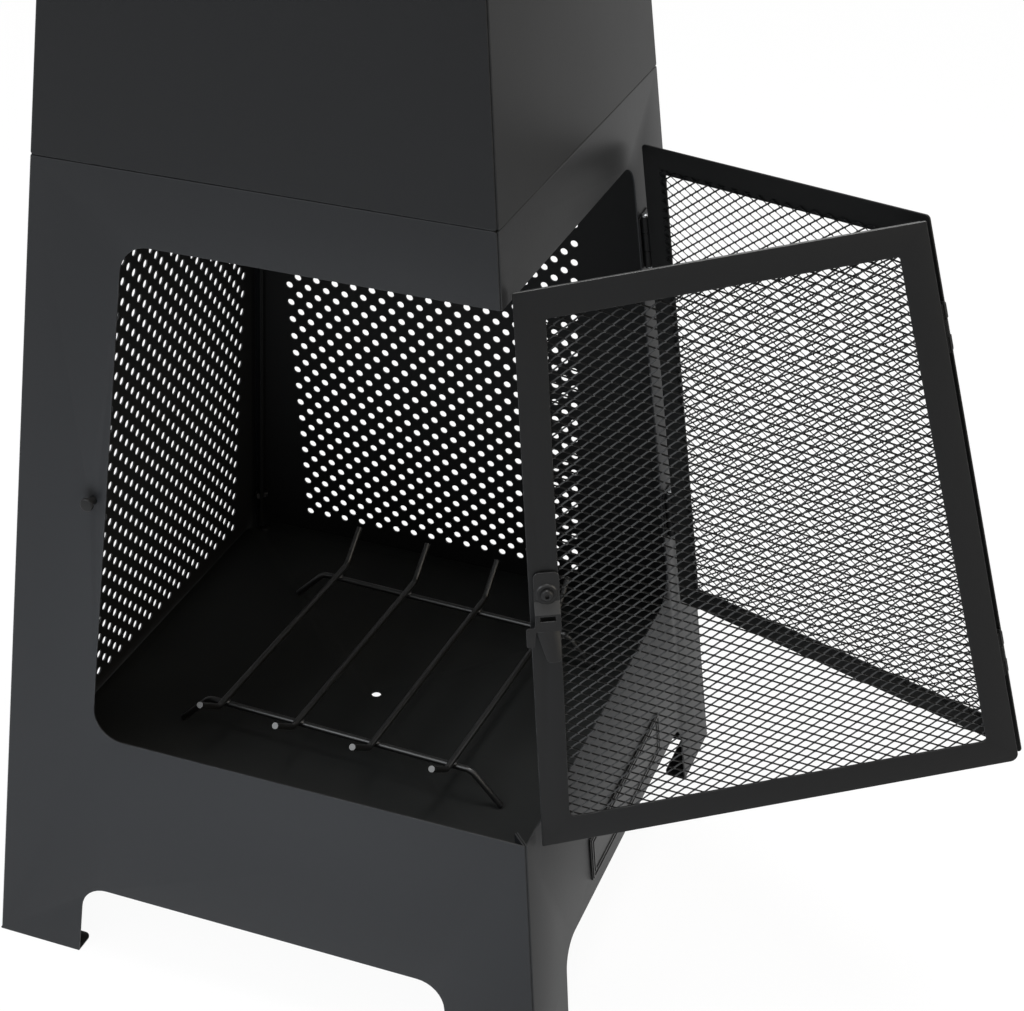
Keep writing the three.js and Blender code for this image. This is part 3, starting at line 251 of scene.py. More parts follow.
class Solid:
    """A closed mesh that is moved, cut, joined and softened before it becomes a piece."""

    def __init__(self, mesh: bpy.types.Mesh) -> None:
        """Keeps the mesh."""
        self.mesh = mesh

    @classmethod
    def of(cls, sheet: bmesh.types.BMesh) -> "Solid":
        """Takes over an edit mesh, with its faces turned outwards.

        Args:
            sheet: The edit mesh, which is used up.

        Returns:
            The solid.
        """
        bmesh.ops.recalc_face_normals(sheet, faces=sheet.faces)
        mesh = bpy.data.meshes.new("solid")
        sheet.to_mesh(mesh)
        sheet.free()
        return cls(mesh)

    @classmethod
    def prism(cls, outline: Sequence[Vector], low: float, high: float) -> "Solid":
        """Raises an outline from one height to another.

        Args:
            outline: Points round the outline.
            low: Height of its foot.
            high: Height of its top.

        Returns:
            The prism.
        """
        work = bmesh.new()
        rings = [[work.verts.new((p.x, p.y, z)) for p in outline] for z in (low, high)]
        work.faces.new(rings[0])
        work.faces.new(rings[1])
        for i in range(len(outline)):
            j = (i + 1) % len(outline)
            work.faces.new((rings[0][i], rings[0][j], rings[1][j], rings[1][i]))
        return cls.of(work)

    @classmethod
    def block(cls, low: Corner, high: Corner) -> "Solid":
        """Makes a block between two corners."""
        (x0, y0, z0), (x1, y1, z1) = low, high
        return cls.prism([Vector(p) for p in ((x0, y0), (x1, y0), (x1, y1), (x0, y1))], z0, z1)

    @classmethod
    def turned(cls, profile: Profile, sides: int = 32) -> "Solid":
        """Turns a profile of (radius, height) about Z; a profile off the axis makes a ring.

        Args:
            profile: The profile's points.
            sides: Number of sides.

        Returns:
            The turned solid.
        """
        work = bmesh.new()
        rings = []
        for radius, height in profile:
            count = sides if radius > 0 else 1
            spokes = [2 * pi * k / sides for k in range(count)]
            rings.append([work.verts.new((radius * cos(a), radius * sin(a), height)) for a in spokes])
        closed = profile[0][0] > 0
        for i in range(len(rings) if closed else len(rings) - 1):
            a, b = rings[i], rings[(i + 1) % len(rings)]
            for k in range(sides):
                n = (k + 1) % sides
                ring = [a[k % len(a)], a[n % len(a)], b[n % len(b)], b[k % len(b)]]
                work.faces.new(list(dict.fromkeys(ring)))
        return cls.of(work)

    @classmethod
    def rod(cls, radius: float, low: float, high: float, sides: int = 32) -> "Solid":
        """Makes a round rod along Z."""
        return cls.turned([(0, low), (radius, low), (radius, high), (0, high)], sides)

    @classmethod
    def drill(cls, radius: float, sides: int = 20, reach: float = 0.01) -> "Solid":
        """Makes a round cutter along Z that runs past the origin both ways."""
        return cls.rod(radius, -reach, reach, sides)

    @classmethod
    def from_cad(cls, node: str) -> "Solid":
        """Copies a CAD node, with its loose triangles merged into flat faces.

        Args:
            node: The node's name.

        Returns:
            The copy.
        """
        work = bmesh.new()
        work.from_mesh(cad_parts[node].data)
        bmesh.ops.remove_doubles(work, verts=work.verts, dist=CAD_MERGE)
        bmesh.ops.dissolve_limit(work, angle_limit=CAD_FLAT, verts=work.verts, edges=work.edges)
        mesh = bpy.data.meshes.new(node)
        work.to_mesh(mesh)
        work.free()
        return cls(mesh)

    def moved(self, matrix: Matrix) -> "Solid":
        """Returns a moved copy."""
        mesh = self.mesh.copy()
        mesh.transform(matrix)
        return Solid(mesh)

    def shifted(self, x: float = 0, y: float = 0, z: float = 0) -> "Solid":
        """Returns a copy moved along the axes."""
        return self.moved(Matrix.Translation((x, y, z)))

    def plus(self, *others: "Solid") -> "Solid":
        """Joins other solids to this one."""
        return self._combined(others, "UNION")

    def within(self, *others: "Solid") -> "Solid":
        """What this solid shares with all the others."""
        return self._combined(others, "INTERSECT")

    def minus(self, *others: "Solid") -> "Solid":
        """Cuts other solids from this one."""
        return self._combined(others, "DIFFERENCE")

    def _combined(self, others: Iterable["Solid"], operation: str) -> "Solid":
        """Runs one boolean for each other solid.

        Args:
            others: The solids that are joined or cut.
            operation: Blender's name of the operation.

        Returns:
            The new solid, with its flat faces merged.
        """
        base = placed_object("base", self.mesh)
        helpers = [base]
        for other in others:
            helper = placed_object("helper", other.mesh)
            helpers.append(helper)
            modifier = base.modifiers.new("combine", "BOOLEAN")
            modifier.operation = operation
            modifier.object = helper
            modifier.solver = "MANIFOLD"
        mesh = evaluated(base)
        for helper in helpers:
            bpy.data.objects.remove(helper)
        work = bmesh.new()
        work.from_mesh(mesh)
        bmesh.ops.remove_doubles(work, verts=work.verts, dist=CUT_MERGE)
        bmesh.ops.dissolve_limit(work, angle_limit=CUT_FLAT, verts=work.verts, edges=work.edges)
        work.to_mesh(mesh)
        work.free()
        return Solid(mesh)

    def tapered(self) -> "Solid":
        """Moves everything drawn at the ground's size in towards the axis as it rises."""
        mesh = self.mesh.copy()
        for vertex in mesh.vertices:
            x, y, z = vertex.co
            inward = SIZES.taper * z
            vertex.co = (x - (x > 0) * inward + (x < 0) * inward, y + inward, z)
        return Solid(mesh)

    def softened(
        self,
        width: float,
        segments: int = 2,
        least: float = 30,
        where: Callable[[Vector], bool] | None = None,
    ) -> "Solid":
        """Rounds outer edges.

        Args:
            width: How far each edge is cut back.
            segments: Number of faces across a rounded edge.
            least: Smallest angle between two faces, in degrees, at which their edge is rounded.
            where: Test of an edge's middle; only edges that pass it are rounded.

        Returns:
            The softened solid.
        """
        work = bmesh.new()
        work.from_mesh(self.mesh)
        edges = []
        for edge in work.edges:
            if len(edge.link_faces) != 2 or not edge.is_convex:
                continue
            middle = (edge.verts[0].co + edge.verts[1].co) / 2
            if edge.calc_face_angle() > radians(least) and (where is None or where(middle)):
                edges.append(edge)
        bmesh.ops.bevel(
            work, geom=edges, offset=width, offset_type="OFFSET", segments=segments, profile=0.5,
            affect="EDGES", clamp_overlap=False, material=-1,
        )
        mesh = bpy.data.meshes.new("softened")
        work.to_mesh(mesh)
        work.free()
        return Solid(mesh)


def placed_object(name: str, mesh: bpy.types.Mesh) -> bpy.types.Object:
    """Puts a mesh in the scene as an object at the origin."""
    thing = bpy.data.objects.new(name, mesh)
    bpy.context.scene.collection.objects.link(thing)
    return thing


def evaluated(thing: bpy.types.Object) -> bpy.types.Mesh:
    """Returns an object's mesh with its modifiers applied."""
    graph = bpy.context.evaluated_depsgraph_get()
    return bpy.data.meshes.new_from_object(thing.evaluated_get(graph))


def joined(solids: Sequence[Solid]) -> Solid:
    """Puts solids into one mesh without cutting them.

    Args:
        solids: The solids.

    Returns:
        One solid of all their faces.
    """
    work = bmesh.new()
    for solid in solids:
        work.from_mesh(solid.mesh)
    mesh = bpy.data.meshes.new("joined")
    work.to_mesh(mesh)
    work.free()
    return Solid(mesh)


class Graph:
    """A node tree, with short ways to add nodes to it."""

    def __init__(self, tree: bpy.types.NodeTree) -> None:
        """Keeps the tree."""
        self.tree = tree

    def node(self, kind: str, links: dict[Any, Any] | None = None, **settings: Any) -> bpy.types.Node:
        """Adds a node.

        Args:
            kind: Blender's name of the node type.
            links: For each input, by name or number, the socket that feeds it or a plain value.
            settings: The node's own properties.

        Returns:
            The new node.
        """
        node = self.tree.nodes.new(kind)
        for key, value in settings.items():
            setattr(node, key, value)
        for key, value in (links or {}).items():
            if isinstance(value, Socket):
                self.tree.links.new(value, node.inputs[key])
            else:
                node.inputs[key].default_value = value
        return node

    def out(self, kind: str, links: dict[Any, Any] | None = None, **settings: Any) -> Socket:
        """Adds a node as node does, and returns its first output."""
        return self.node(kind, links, **settings).outputs[0]

    def maths(self, operation: str, *values: Any) -> Socket:
        """Adds a maths node and returns its output."""
        return self.out("ShaderNodeMath", dict(enumerate(values)), operation=operation)

    def vector(self, x: Any = 0.0, y: Any = 0.0, z: Any = 0.0) -> Socket:
        """Combines three values to a vector."""
        return self.out("ShaderNodeCombineXYZ", {0: x, 1: y, 2: z})

    def noise(self, place: Socket, scale: Any, detail: float) -> Socket:
        """Adds plain noise and returns its value."""
        return self.out("ShaderNodeTexNoise", {"Vector": place, "Scale": scale, "Detail": detail})

    def share(self, value: Socket, low: float, high: float) -> Socket:
        """Stretches a value so that it is 0 at low and 1 at high, and no more or less."""
        return self.out("ShaderNodeMapRange", {"Value": value, "From Min": low, "From Max": high})


def emptied(owner: bpy.types.Material | bpy.types.World) -> Graph:
    """Empties the node tree of a material or a world."""
    owner.use_nodes = True
    owner.node_tree.nodes.clear()
    return Graph(owner.node_tree)


class Group(Graph):
    """A node group with named inputs and outputs."""

    KINDS = {float: "Float", int: "Int", tuple: "Vector", type(None): "Geometry"}

    def __init__(self, name: str, kind: str, outputs: dict[str, str], **inputs: Any) -> None:
        """Makes the group and its sockets.

        Args:
            name: The group's name.
            kind: Blender's name of the tree's type.
            outputs: Kind of each output's socket.
            inputs: Default of each input, which gives its socket's kind too; an underscore is a space.
        """
        super().__init__(bpy.data.node_groups.new(name, kind))
        self.values = {self.label(key): value for key, value in inputs.items()}
        for label, socket in outputs.items():
            self.tree.interface.new_socket(label, in_out="OUTPUT", socket_type=f"NodeSocket{socket}")
        for label, value in self.values.items():
            socket_type = f"NodeSocket{self.KINDS[type(value)]}"
            socket = self.tree.interface.new_socket(label, in_out="INPUT", socket_type=socket_type)
            if value is not None:
                socket.default_value = value
        self.source = self.tree.nodes.new("NodeGroupInput").outputs
        self.target = self.tree.nodes.new("NodeGroupOutput").inputs

    @staticmethod
    def label(key: str) -> str:
        """The socket's name for a keyword."""
        return key.replace("_", " ").title()

    def give(self, label: str, socket: Socket) -> None:
        """Links a socket to one of the group's outputs."""
        self.tree.links.new(socket, self.target[label])


class Effect(Group):
    """A shader node group that reads a place and gives numbers."""

    def __init__(self, name: str, outputs: Sequence[str], **inputs: float) -> None:
        """Makes the group with a place as its first input."""
        kinds = dict.fromkeys(outputs, "Float")
        super().__init__(name, "ShaderNodeTree", kinds, vector=(0.0, 0.0, 0.0), **inputs)


@cache
def coat_grain() -> Effect:
    """Builds the fine orange-peel grain of baked powder paint: a height and a light fleck mask."""
    coarse_share, coarse_weight, fleck_radii = 0.22, 0.6, (0.3, 0.05)
    fine_detail, coarse_detail = 3.0, 2.0
    group = Effect("coat_grain", ["Height", "Fleck"], scale=900.0, fleck=0.5)
    place, scale = group.source["Vector"], group.source["Scale"]
    fine = group.noise(place, scale, fine_detail)
    coarse = group.noise(place, group.maths("MULTIPLY", scale, coarse_share), coarse_detail)
    group.give("Height", group.maths("MULTIPLY_ADD", coarse, coarse_weight, fine))
    cells = group.out("ShaderNodeTexVoronoi", {"Vector": place, "Scale": scale})
    group.give("Fleck", group.maths("MULTIPLY", group.share(cells, *fleck_radii), group.source["Fleck"]))
    return group


@cache
def coat_cloud() -> Effect:
    """Builds the slow unevenness of sprayed paint, as a value round 0 for colour and roughness."""
    detail = 4.0
    group = Effect("coat_cloud", ["Value"], scale=6.0, amount=0.1)
    slow = group.noise(group.source["Vector"], group.source["Scale"], detail)
    centred = group.maths("SUBTRACT", slow, 0.5)
    group.give("Value", group.maths("MULTIPLY", centred, group.source["Amount"]))
    return group


@cache
def settled_dust() -> Effect:
    """Builds a thin patchy film of dust on what faces up."""
    patch_scale, detail, steepest, patch_range = 14.0, 6.0, 0.35, (0.35, 0.7)
    group = Effect("settled_dust", ["Mask"], amount=0.1)
    normal = group.node("ShaderNodeNewGeometry").outputs["Normal"]
    axes = group.node("ShaderNodeSeparateXYZ", {0: normal}).outputs
    patches = group.noise(group.source["Vector"], patch_scale, detail)
    both = group.maths("MULTIPLY", group.share(axes["Z"], steepest, 1.0), group.share(patches, *patch_range))
    group.give("Mask", group.maths("MULTIPLY", both, group.source["Amount"]))
    return group


@cache
def edge_rub() -> Effect:
    """Builds a broken mask along edges that stand out, where a paler colour paints an edge highlight."""
    break_scale, detail, flat_and_turned, break_range = 160.0, 4.0, (0.97, 0.8), (0.42, 0.62)
    group = Effect("edge_rub", ["Mask"], reach=0.0008, amount=0.3)
    normal = group.node("ShaderNodeNewGeometry").outputs["Normal"]
    round_over = group.out("ShaderNodeBevel", {"Radius": group.source["Reach"]}, samples=4)
    along = group.node("ShaderNodeVectorMath", {0: round_over, 1: normal}, operation="DOT_PRODUCT")
    turn = group.share(along.outputs["Value"], *flat_and_turned)
    broken = group.share(group.noise(group.source["Vector"], break_scale, detail), *break_range)
    both = group.maths("MULTIPLY", turn, broken)
    group.give("Mask", group.maths("MULTIPLY", both, group.source["Amount"]))
    return group


@dataclass(frozen=True)
class Finish:
    """A finish of the object, as numbers that its material is made from."""

    name: str
    slot: str
    colour: Corner
    roughness: float
    specular: float = 0.5
    metallic: float = 0.0
    grain_scale: float = 900.0
    grain_height: float = 0.00006
    grain_strength: float = 0.6
    fleck: float = 0.25
    fleck_weight: float = 0.5
    cloud: float = 0.12
    cloud_scale: float = 7.0
    cloud_roughness: float = 0.8
    dust: float = 0.05
    dust_roughness: float = 0.5
    # Amount and colour of the paler band that paints a highlight along standing edges.
    rub: float = 0.3
    rub_colour: Corner = (0.12, 0.12, 0.122)
    dust_colour: Corner = (0.16, 0.155, 0.145)

    @property
    def material(self) -> bpy.types.Material:
        """The finish's material, made the first time it is asked for."""
        return bpy.data.materials.get(self.name) or self._make()

    def _make(self) -> bpy.types.Material:
        """Builds the material from the shared effects."""
        material = bpy.data.materials.new(self.name)
        graph = emptied(material)
        place = graph.node("ShaderNodeTexCoord").outputs["Object"]
        grain = self._effect(graph, coat_grain, place, Scale=self.grain_scale, Fleck=self.fleck)
        cloud = self._effect(graph, coat_cloud, place, Scale=self.cloud_scale, Amount=self.cloud)["Value"]
        dust = self._effect(graph, settled_dust, place, Amount=self.dust)["Mask"]
        # Mask of the painted edge highlight along standing edges.
        rub = self._effect(graph, edge_rub, place, Amount=self.rub)["Mask"]
        lift = graph.maths("ADD", cloud, 1.0)
        fleck = graph.maths("MULTIPLY_ADD", grain["Fleck"], self.fleck_weight, lift)
        shade = graph.out("ShaderNodeVectorMath", {0: self.colour, "Scale": fleck}, operation="SCALE")
        dusty = self._mix(graph, dust, shade, self.dust_colour)
        matt = graph.maths("MULTIPLY_ADD", cloud, self.cloud_roughness, self.roughness)
        bump = {"Height": grain["Height"], "Distance": self.grain_height, "Strength": self.grain_strength}
        shader = graph.out("ShaderNodeBsdfPrincipled", {
            "Base Color": self._mix(graph, rub, dusty, self.rub_colour),
            "Roughness": graph.maths("MULTIPLY_ADD", dust, self.dust_roughness, matt),
            "Normal": graph.out("ShaderNodeBump", bump),
            "Metallic": self.metallic,
            "Specular IOR Level": self.specular,
        })
        graph.node("ShaderNodeOutputMaterial", {"Surface": shader})
        return material

    @staticmethod
    def _effect(
        graph: Graph, maker: Callable[[], Effect], place: Socket, **values: float
    ) -> bpy.types.NodeOutputs:
        """Places a shared effect in a material.

        Args:
            graph: The material's tree.
            maker: The function that makes the effect.
            place: The place on the surface.
            values: Values of the effect's other inputs.

        Returns:
            The effect's outputs.
        """
        return graph.node("ShaderNodeGroup", {"Vector": place, **values}, node_tree=maker().tree).outputs

    @staticmethod
    def _mix(graph: Graph, mask: Socket, under: Socket, over: Corner) -> Socket:
        """Lays a colour over another where a mask says."""
        return graph.node("ShaderNodeMix", {0: mask, 6: under, 7: (*over, 1.0)}, data_type="RGBA").outputs[2]


BODY_COAT = Finish("black_body_coat", "body_coat", (0.0112, 0.0118, 0.0129), 0.47, specular=0.17)
# Darker, duller copy of the body coat: painted shade for the inside of the fireplace and the backs of the
# leaf frames.
INSIDE_SHADE_COAT = Finish(
    "black_inside_coat", "body_coat", (0.0085, 0.0086, 0.0086), 0.80, specular=0.08, rub=0.0, dust=0.02,
)
# Paler copy of the body coat for the floor plate: painted light that comes in through the opening.
FLOOR_LIT_COAT = Finish(
    "black_floor_coat", "body_coat", (0.0155, 0.0163, 0.0159), 0.74, specular=0.10, rub=0.1, dust=0.03,
)
CHIMNEY_COAT = Finish("black_chimney_coat", "chimney_coat", (0.0108, 0.0112, 0.0119), 0.50, specular=0.12)
DOOR_COAT = Finish("black_door_coat", "door_coat", (0.0058, 0.0060, 0.0063), 0.46, specular=0.15, rub=0.5)
# Paler, glossier copy of the door coat: a painted highlight on the top-facing edge of the front leaf.
DOOR_EDGE_HIGHLIGHT = replace(DOOR_COAT, name="worn_door_edge", colour=(0.034, 0.0345, 0.034), roughness=0.42,
                    specular=0.5, rub=0.3)
MESH_COAT = Finish(
    "black_mesh_coat", "mesh_coat", (0.0085, 0.0088, 0.0090), 0.44, specular=0.28, rub=0.0, dust=0.0,
)
# Darker, duller copy of the mesh coat: painted shade on the strands that tilt away from the light.
MESH_SHADE = replace(MESH_COAT, name="thin_mesh_coat", colour=(0.0032, 0.0033, 0.0034), roughness=0.60,
                     specular=0.06)
HINGE_COAT = Finish("black_hinge_coat", "hardware", (0.0052, 0.0053, 0.0055), 0.46, specular=0.12, rub=0.05)
GRATE_COAT = Finish("black_grate_coat", "grate_rod", (0.0085, 0.0085, 0.0085), 0.34, specular=0.65, rub=0.0)
BARE_END = Finish(
    "cut_rod_end", "grate_rod", (0.16, 0.16, 0.158), 0.5, metallic=1.0, grain_scale=1400.0, cloud=0.3,
    rub=0.0,
)
BLACK_OXIDE = Finish(
    "black_oxide", "hardware", (0.0060, 0.0060, 0.0062), 0.38, specular=0.19, grain_scale=1500.0,
    grain_height=0.00003, rub=0.25, rub_colour=(0.12, 0.12, 0.125),
)
# Paler, glossier copy of the black oxide: a painted highlight on the lever's upward-facing step.
OXIDE_STEP_HIGHLIGHT = Finish(
    "rubbed_oxide", "hardware", (0.0120, 0.0120, 0.0122), 0.32, specular=0.35, grain_scale=1500.0, rub=0.4,
)
PLATED = Finish(
    "plated_pin", "hinge_pin", (0.20, 0.205, 0.21), 0.34, metallic=1.0, grain_scale=1800.0,
    grain_height=0.00002, rub=0.0, cloud=0.2,
)


def finished(solid: Solid, name: str, body: Body, finish: Finish, node: str = "") -> bpy.types.Object:
    """Makes a piece of a solid and hangs it on its body.

    Args:
        solid: The piece's shape in its place.
        name: The piece's name.
        body: The body that it moves with.
        finish: The finish of its whole surface.
        node: The CAD node that it stands for; without it, the one named like the piece less its last word.

    Returns:
        The piece.
    """
    mesh = solid.mesh
    mesh.name = name
    mesh.materials.clear()
    mesh.materials.append(finish.material)
    for face in mesh.polygons:
        face.material_index = 0
    return hung(mesh, name, body, [node or name.rpartition("_")[0]])


def hung(
    mesh: bpy.types.Mesh,
    name: str,
    body: Body,
    nodes: Sequence[str],
    smooth_below: float = 24,
) -> bpy.types.Object:
    """Hangs a mesh that already has its materials on its body.

    Args:
        mesh: The piece's mesh in its place.
        name: The piece's name.
        body: The body that it moves with.
        nodes: The CAD nodes that it stands for.
        smooth_below: Faces that meet at less than this angle, in degrees, shade as one.

    Returns:
        The piece.
    """
    mesh.shade_smooth()
    mesh.set_sharp_from_angle(angle=radians(smooth_below))
    piece = placed_object(name, mesh)
    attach(piece, body.value)
    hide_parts(*nodes)
    log.info("%s: %d faces", name, len(mesh.polygons))
    return piece


def second_finish(piece: bpy.types.Object, finish: Finish, faces: Iterable[int]) -> None:
    """Gives some faces of a piece, named by their numbers, a second finish."""
    mesh = piece.data
    mesh.materials.append(finish.material)
    for index in faces:
        mesh.polygons[index].material_index = len(mesh.materials) - 1


def darkened_inside(piece: bpy.types.Object) -> None:
    """Paints shade on the faces of a folded sheet that look into the fireplace, with the darker, duller
    inside coat.
    """
    least = 0.2
    centre = sum((Vector(corner) for corner in piece.bound_box), Vector()) / 8
    inward = -Vector((centre.x, centre.y, 0)).normalized()
    second_finish(piece, INSIDE_SHADE_COAT, [f.index for f in piece.data.polygons if f.normal.dot(inward) > least])


class Recipe(Group):
    """A Geometry Nodes tree that is run on an object and turned into a plain mesh."""

    def __init__(self, name: str, **inputs: Any) -> None:
        """Makes the tree with a geometry input and output and the named inputs."""
        super().__init__(name, "GeometryNodeTree", {"Geometry": "Geometry"}, geometry=None, **inputs)

    def moved(self, geometry: Socket, **places: Any) -> Socket:
        """Moves geometry by the named inputs of Blender's Transform node."""
        return self.out("GeometryNodeTransform", {"Geometry": geometry, **places})

    def copies(self, points: Socket, thing: Socket, **turns: Any) -> Socket:
        """Puts a copy of some geometry on every point."""
        return self.out("GeometryNodeInstanceOnPoints", {"Points": points, "Instance": thing, **turns})

    def joined(self, parts: Iterable[Socket]) -> Socket:
        """Joins geometry."""
        join = self.node("GeometryNodeJoinGeometry")
        for part in parts:
            self.tree.links.new(part, join.inputs[0])
        return join.outputs[0]

    def real(self, geometry: Socket) -> Socket:
        """Makes real geometry of copies."""
        return self.out("GeometryNodeRealizeInstances", {"Geometry": geometry})

    def chequer(self, across: Any, up: Any, columns: Any, rows: Any) -> Socket:
        """Sets out points like the dark fields of a chequered board, the first corner among them.

        Args:
            across: Width of a field.
            up: Height of a field.
            columns: Number of fields across.
            rows: Number of fields up.

        Returns:
            The points as geometry.
        """
        wide = self.maths("MULTIPLY", self.maths("SUBTRACT", columns, 1.0), across)
        tall = self.maths("MULTIPLY", self.maths("SUBTRACT", rows, 1.0), up)
        sizes = {"Size X": wide, "Size Y": tall, "Vertices X": columns, "Vertices Y": rows}
        grid = self.out("GeometryNodeMeshGrid", sizes)
        place = self.node("ShaderNodeSeparateXYZ", {0: self.out("GeometryNodeInputPosition")}).outputs
        along = self.maths("DIVIDE", self.maths("MULTIPLY_ADD", wide, 0.5, place["X"]), across)
        height = self.maths("DIVIDE", self.maths("MULTIPLY_ADD", tall, 0.5, place["Y"]), up)
        count = self.maths("ROUND", self.maths("ADD", along, height))
        pale = self.maths("GREATER_THAN", self.maths("FLOORED_MODULO", count, 2.0), 0.5)
        return self.out("GeometryNodeDeleteGeometry", {"Geometry": grid, "Selection": pale}, domain="POINT")

    def finish(self, geometry: Socket, finish: Finish) -> None:
        """Ends the tree with real geometry and its material."""
        painted = {"Geometry": self.real(geometry), "Material": finish.material}
        self.give("Geometry", self.out("GeometryNodeSetMaterial", painted))

    def run(self, mesh: bpy.types.Mesh | bpy.types.Curve, **values: Any) -> bpy.types.Mesh:
        """Runs the tree.

        Args:
            mesh: What goes in as geometry.
            values: Values of inputs that differ from the recipe's.

        Returns:
            The result as a plain mesh.
        """
        thing = placed_object(self.tree.name, mesh)
        modifier = thing.modifiers.new(self.tree.name, "NODES")
        modifier.node_group = self.tree
        wanted = {**self.values, **{self.label(key): value for key, value in values.items()}}
        for item in self.tree.interface.items_tree:
            if item.in_out == "INPUT" and wanted[item.name] is not None:
                modifier[item.identifier] = wanted[item.name]
        result = evaluated(thing)
        bpy.data.objects.remove(thing)
        return result


@dataclass(frozen=True)
class Lamp:
    """A square soft lamp: its middle, its side, its power in watts and the colour of its light."""

    name: str
    place: Corner
    width: float
    power: float
    colour: Corner
    mirrored: bool = True

    def hang(self, aim: Corner) -> None:
        """Hangs the lamp, turned to a point.

        Args:
            aim: The point that it lights.
        """
        light = bpy.data.lights.new(self.name, "AREA")
        light.shape = "SQUARE"
        light.size = self.width
        light.energy = self.power
        light.color = self.colour
        holder = bpy.data.objects.new(self.name, light)
        holder.rotation_euler = (Vector(aim) - Vector(self.place)).to_track_quat("-Z", "Y").to_euler()
        holder.location = self.place
        holder.visible_camera = False
        holder.visible_glossy = self.mirrored
        bpy.context.scene.collection.objects.link(holder)


@dataclass
class Studio:
    """The photograph's camera, a pale floor and soft plain light."""

    focal_length: float = 74.05
    eye: Corner = (0.510418, -1.121922, 1.022617)
    yaw: float = 19.9636
    pitch: float = 31.1022
    roll: float = -1.0479
    floor_width: float = 14.0
    ambient: float = 0.30
    floor_glow: float = 0.95
    floor_colour: tuple[float, ...] = (0.86, 0.86, 0.86, 1.0)
    sensor_width: float = 36.0
    nearest: float = 0.05
    aim: Corner = (0.05, 0.0, 0.45)
    lamps: tuple[Lamp, ...] = (
        Lamp("key", (-1.7, -2.7, 2.9), 2.0, 50, (0.90, 0.95, 1.0)),
        Lamp("low", (-0.02, -0.60, 0.05), 0.5, 7.0, (0.90, 0.95, 1.0), mirrored=False),
        Lamp("fill", (2.8, -0.4, 1.6), 2.0, 40, (1.0, 0.90, 0.72)),
        Lamp("top", (0.15, 0.1, 3.6), 1.8, 140, (1.0, 1.0, 1.0)),
    )

    def build(self) -> None:
        """Sets up the camera, the world, the floor and the lamps."""
        self._camera()
        self._world()
        self._floor()
        for lamp in self.lamps:
            lamp.hang(self.aim)
        bpy.context.scene.view_settings.view_transform = "Standard"

    def _camera(self) -> None:
        """Places the camera from its measured turns."""
        yaw, pitch, roll = radians(self.yaw), radians(self.pitch), radians(self.roll)
        ahead = Vector((-sin(yaw) * cos(pitch), cos(yaw) * cos(pitch), -sin(pitch)))
        right = Vector((cos(yaw), sin(yaw), 0))
        down = ahead.cross(right)
        across = right * cos(roll) + down * sin(roll)
        below = down * cos(roll) - right * sin(roll)
        turn = Matrix((across, -below, -ahead)).transposed().to_4x4()
        lens = bpy.data.cameras.new("camera")
        lens.sensor_fit = "HORIZONTAL"
        lens.sensor_width = self.sensor_width
        lens.lens = self.focal_length
        lens.clip_start = self.nearest
        camera = bpy.data.objects.new("camera", lens)
        camera.matrix_world = Matrix.Translation(self.eye) @ turn
        bpy.context.scene.collection.objects.link(camera)
        bpy.context.scene.camera = camera

    @staticmethod
    def _seen(graph: Graph) -> Socket:
        """A mask that is 1 for the rays that show the background."""
        path = graph.node("ShaderNodeLightPath").outputs
        both = graph.maths("MAXIMUM", path["Is Camera Ray"], path["Is Glossy Ray"])
        return graph.maths("MAXIMUM", both, path["Is Transmission Ray"])

    def _world(self) -> None:
        """Makes the world white where it is seen and soft where it lights."""
        world = bpy.data.worlds.new("studio")
        graph = emptied(world)
        light = graph.out("ShaderNodeBackground", {"Color": WHITE, "Strength": self.ambient})
        seen = graph.out("ShaderNodeBackground", {"Color": WHITE, "Strength": 1.0})
        mix = graph.out("ShaderNodeMixShader", {0: self._seen(graph), 1: light, 2: seen})
        graph.node("ShaderNodeOutputWorld", {"Surface": mix})
        bpy.context.scene.world = world

    def _floor(self) -> None:
        """Lays the pale floor, which keeps the object's shadow."""
        half = self.floor_width / 2
        mesh = bpy.data.meshes.new("floor")
        corners = [(-half, -half, 0), (half, -half, 0), (half, half, 0), (-half, half, 0)]
        mesh.from_pydata(corners, [], [(0, 1, 2, 3)])
        material = bpy.data.materials.new("pale_floor")
        graph = emptied(material)
        matt = graph.out("ShaderNodeBsdfDiffuse", {"Color": self.floor_colour})
        glow = graph.out("ShaderNodeEmission", {"Color": WHITE, "Strength": 1.0})
        share = graph.maths("MULTIPLY", self._seen(graph), self.floor_glow)
        mix = graph.out("ShaderNodeMixShader", {0: share, 1: matt, 2: glow})
        graph.node("ShaderNodeOutputMaterial", {"Surface": mix})
        mesh.materials.append(material)
        placed_object("floor", mesh)


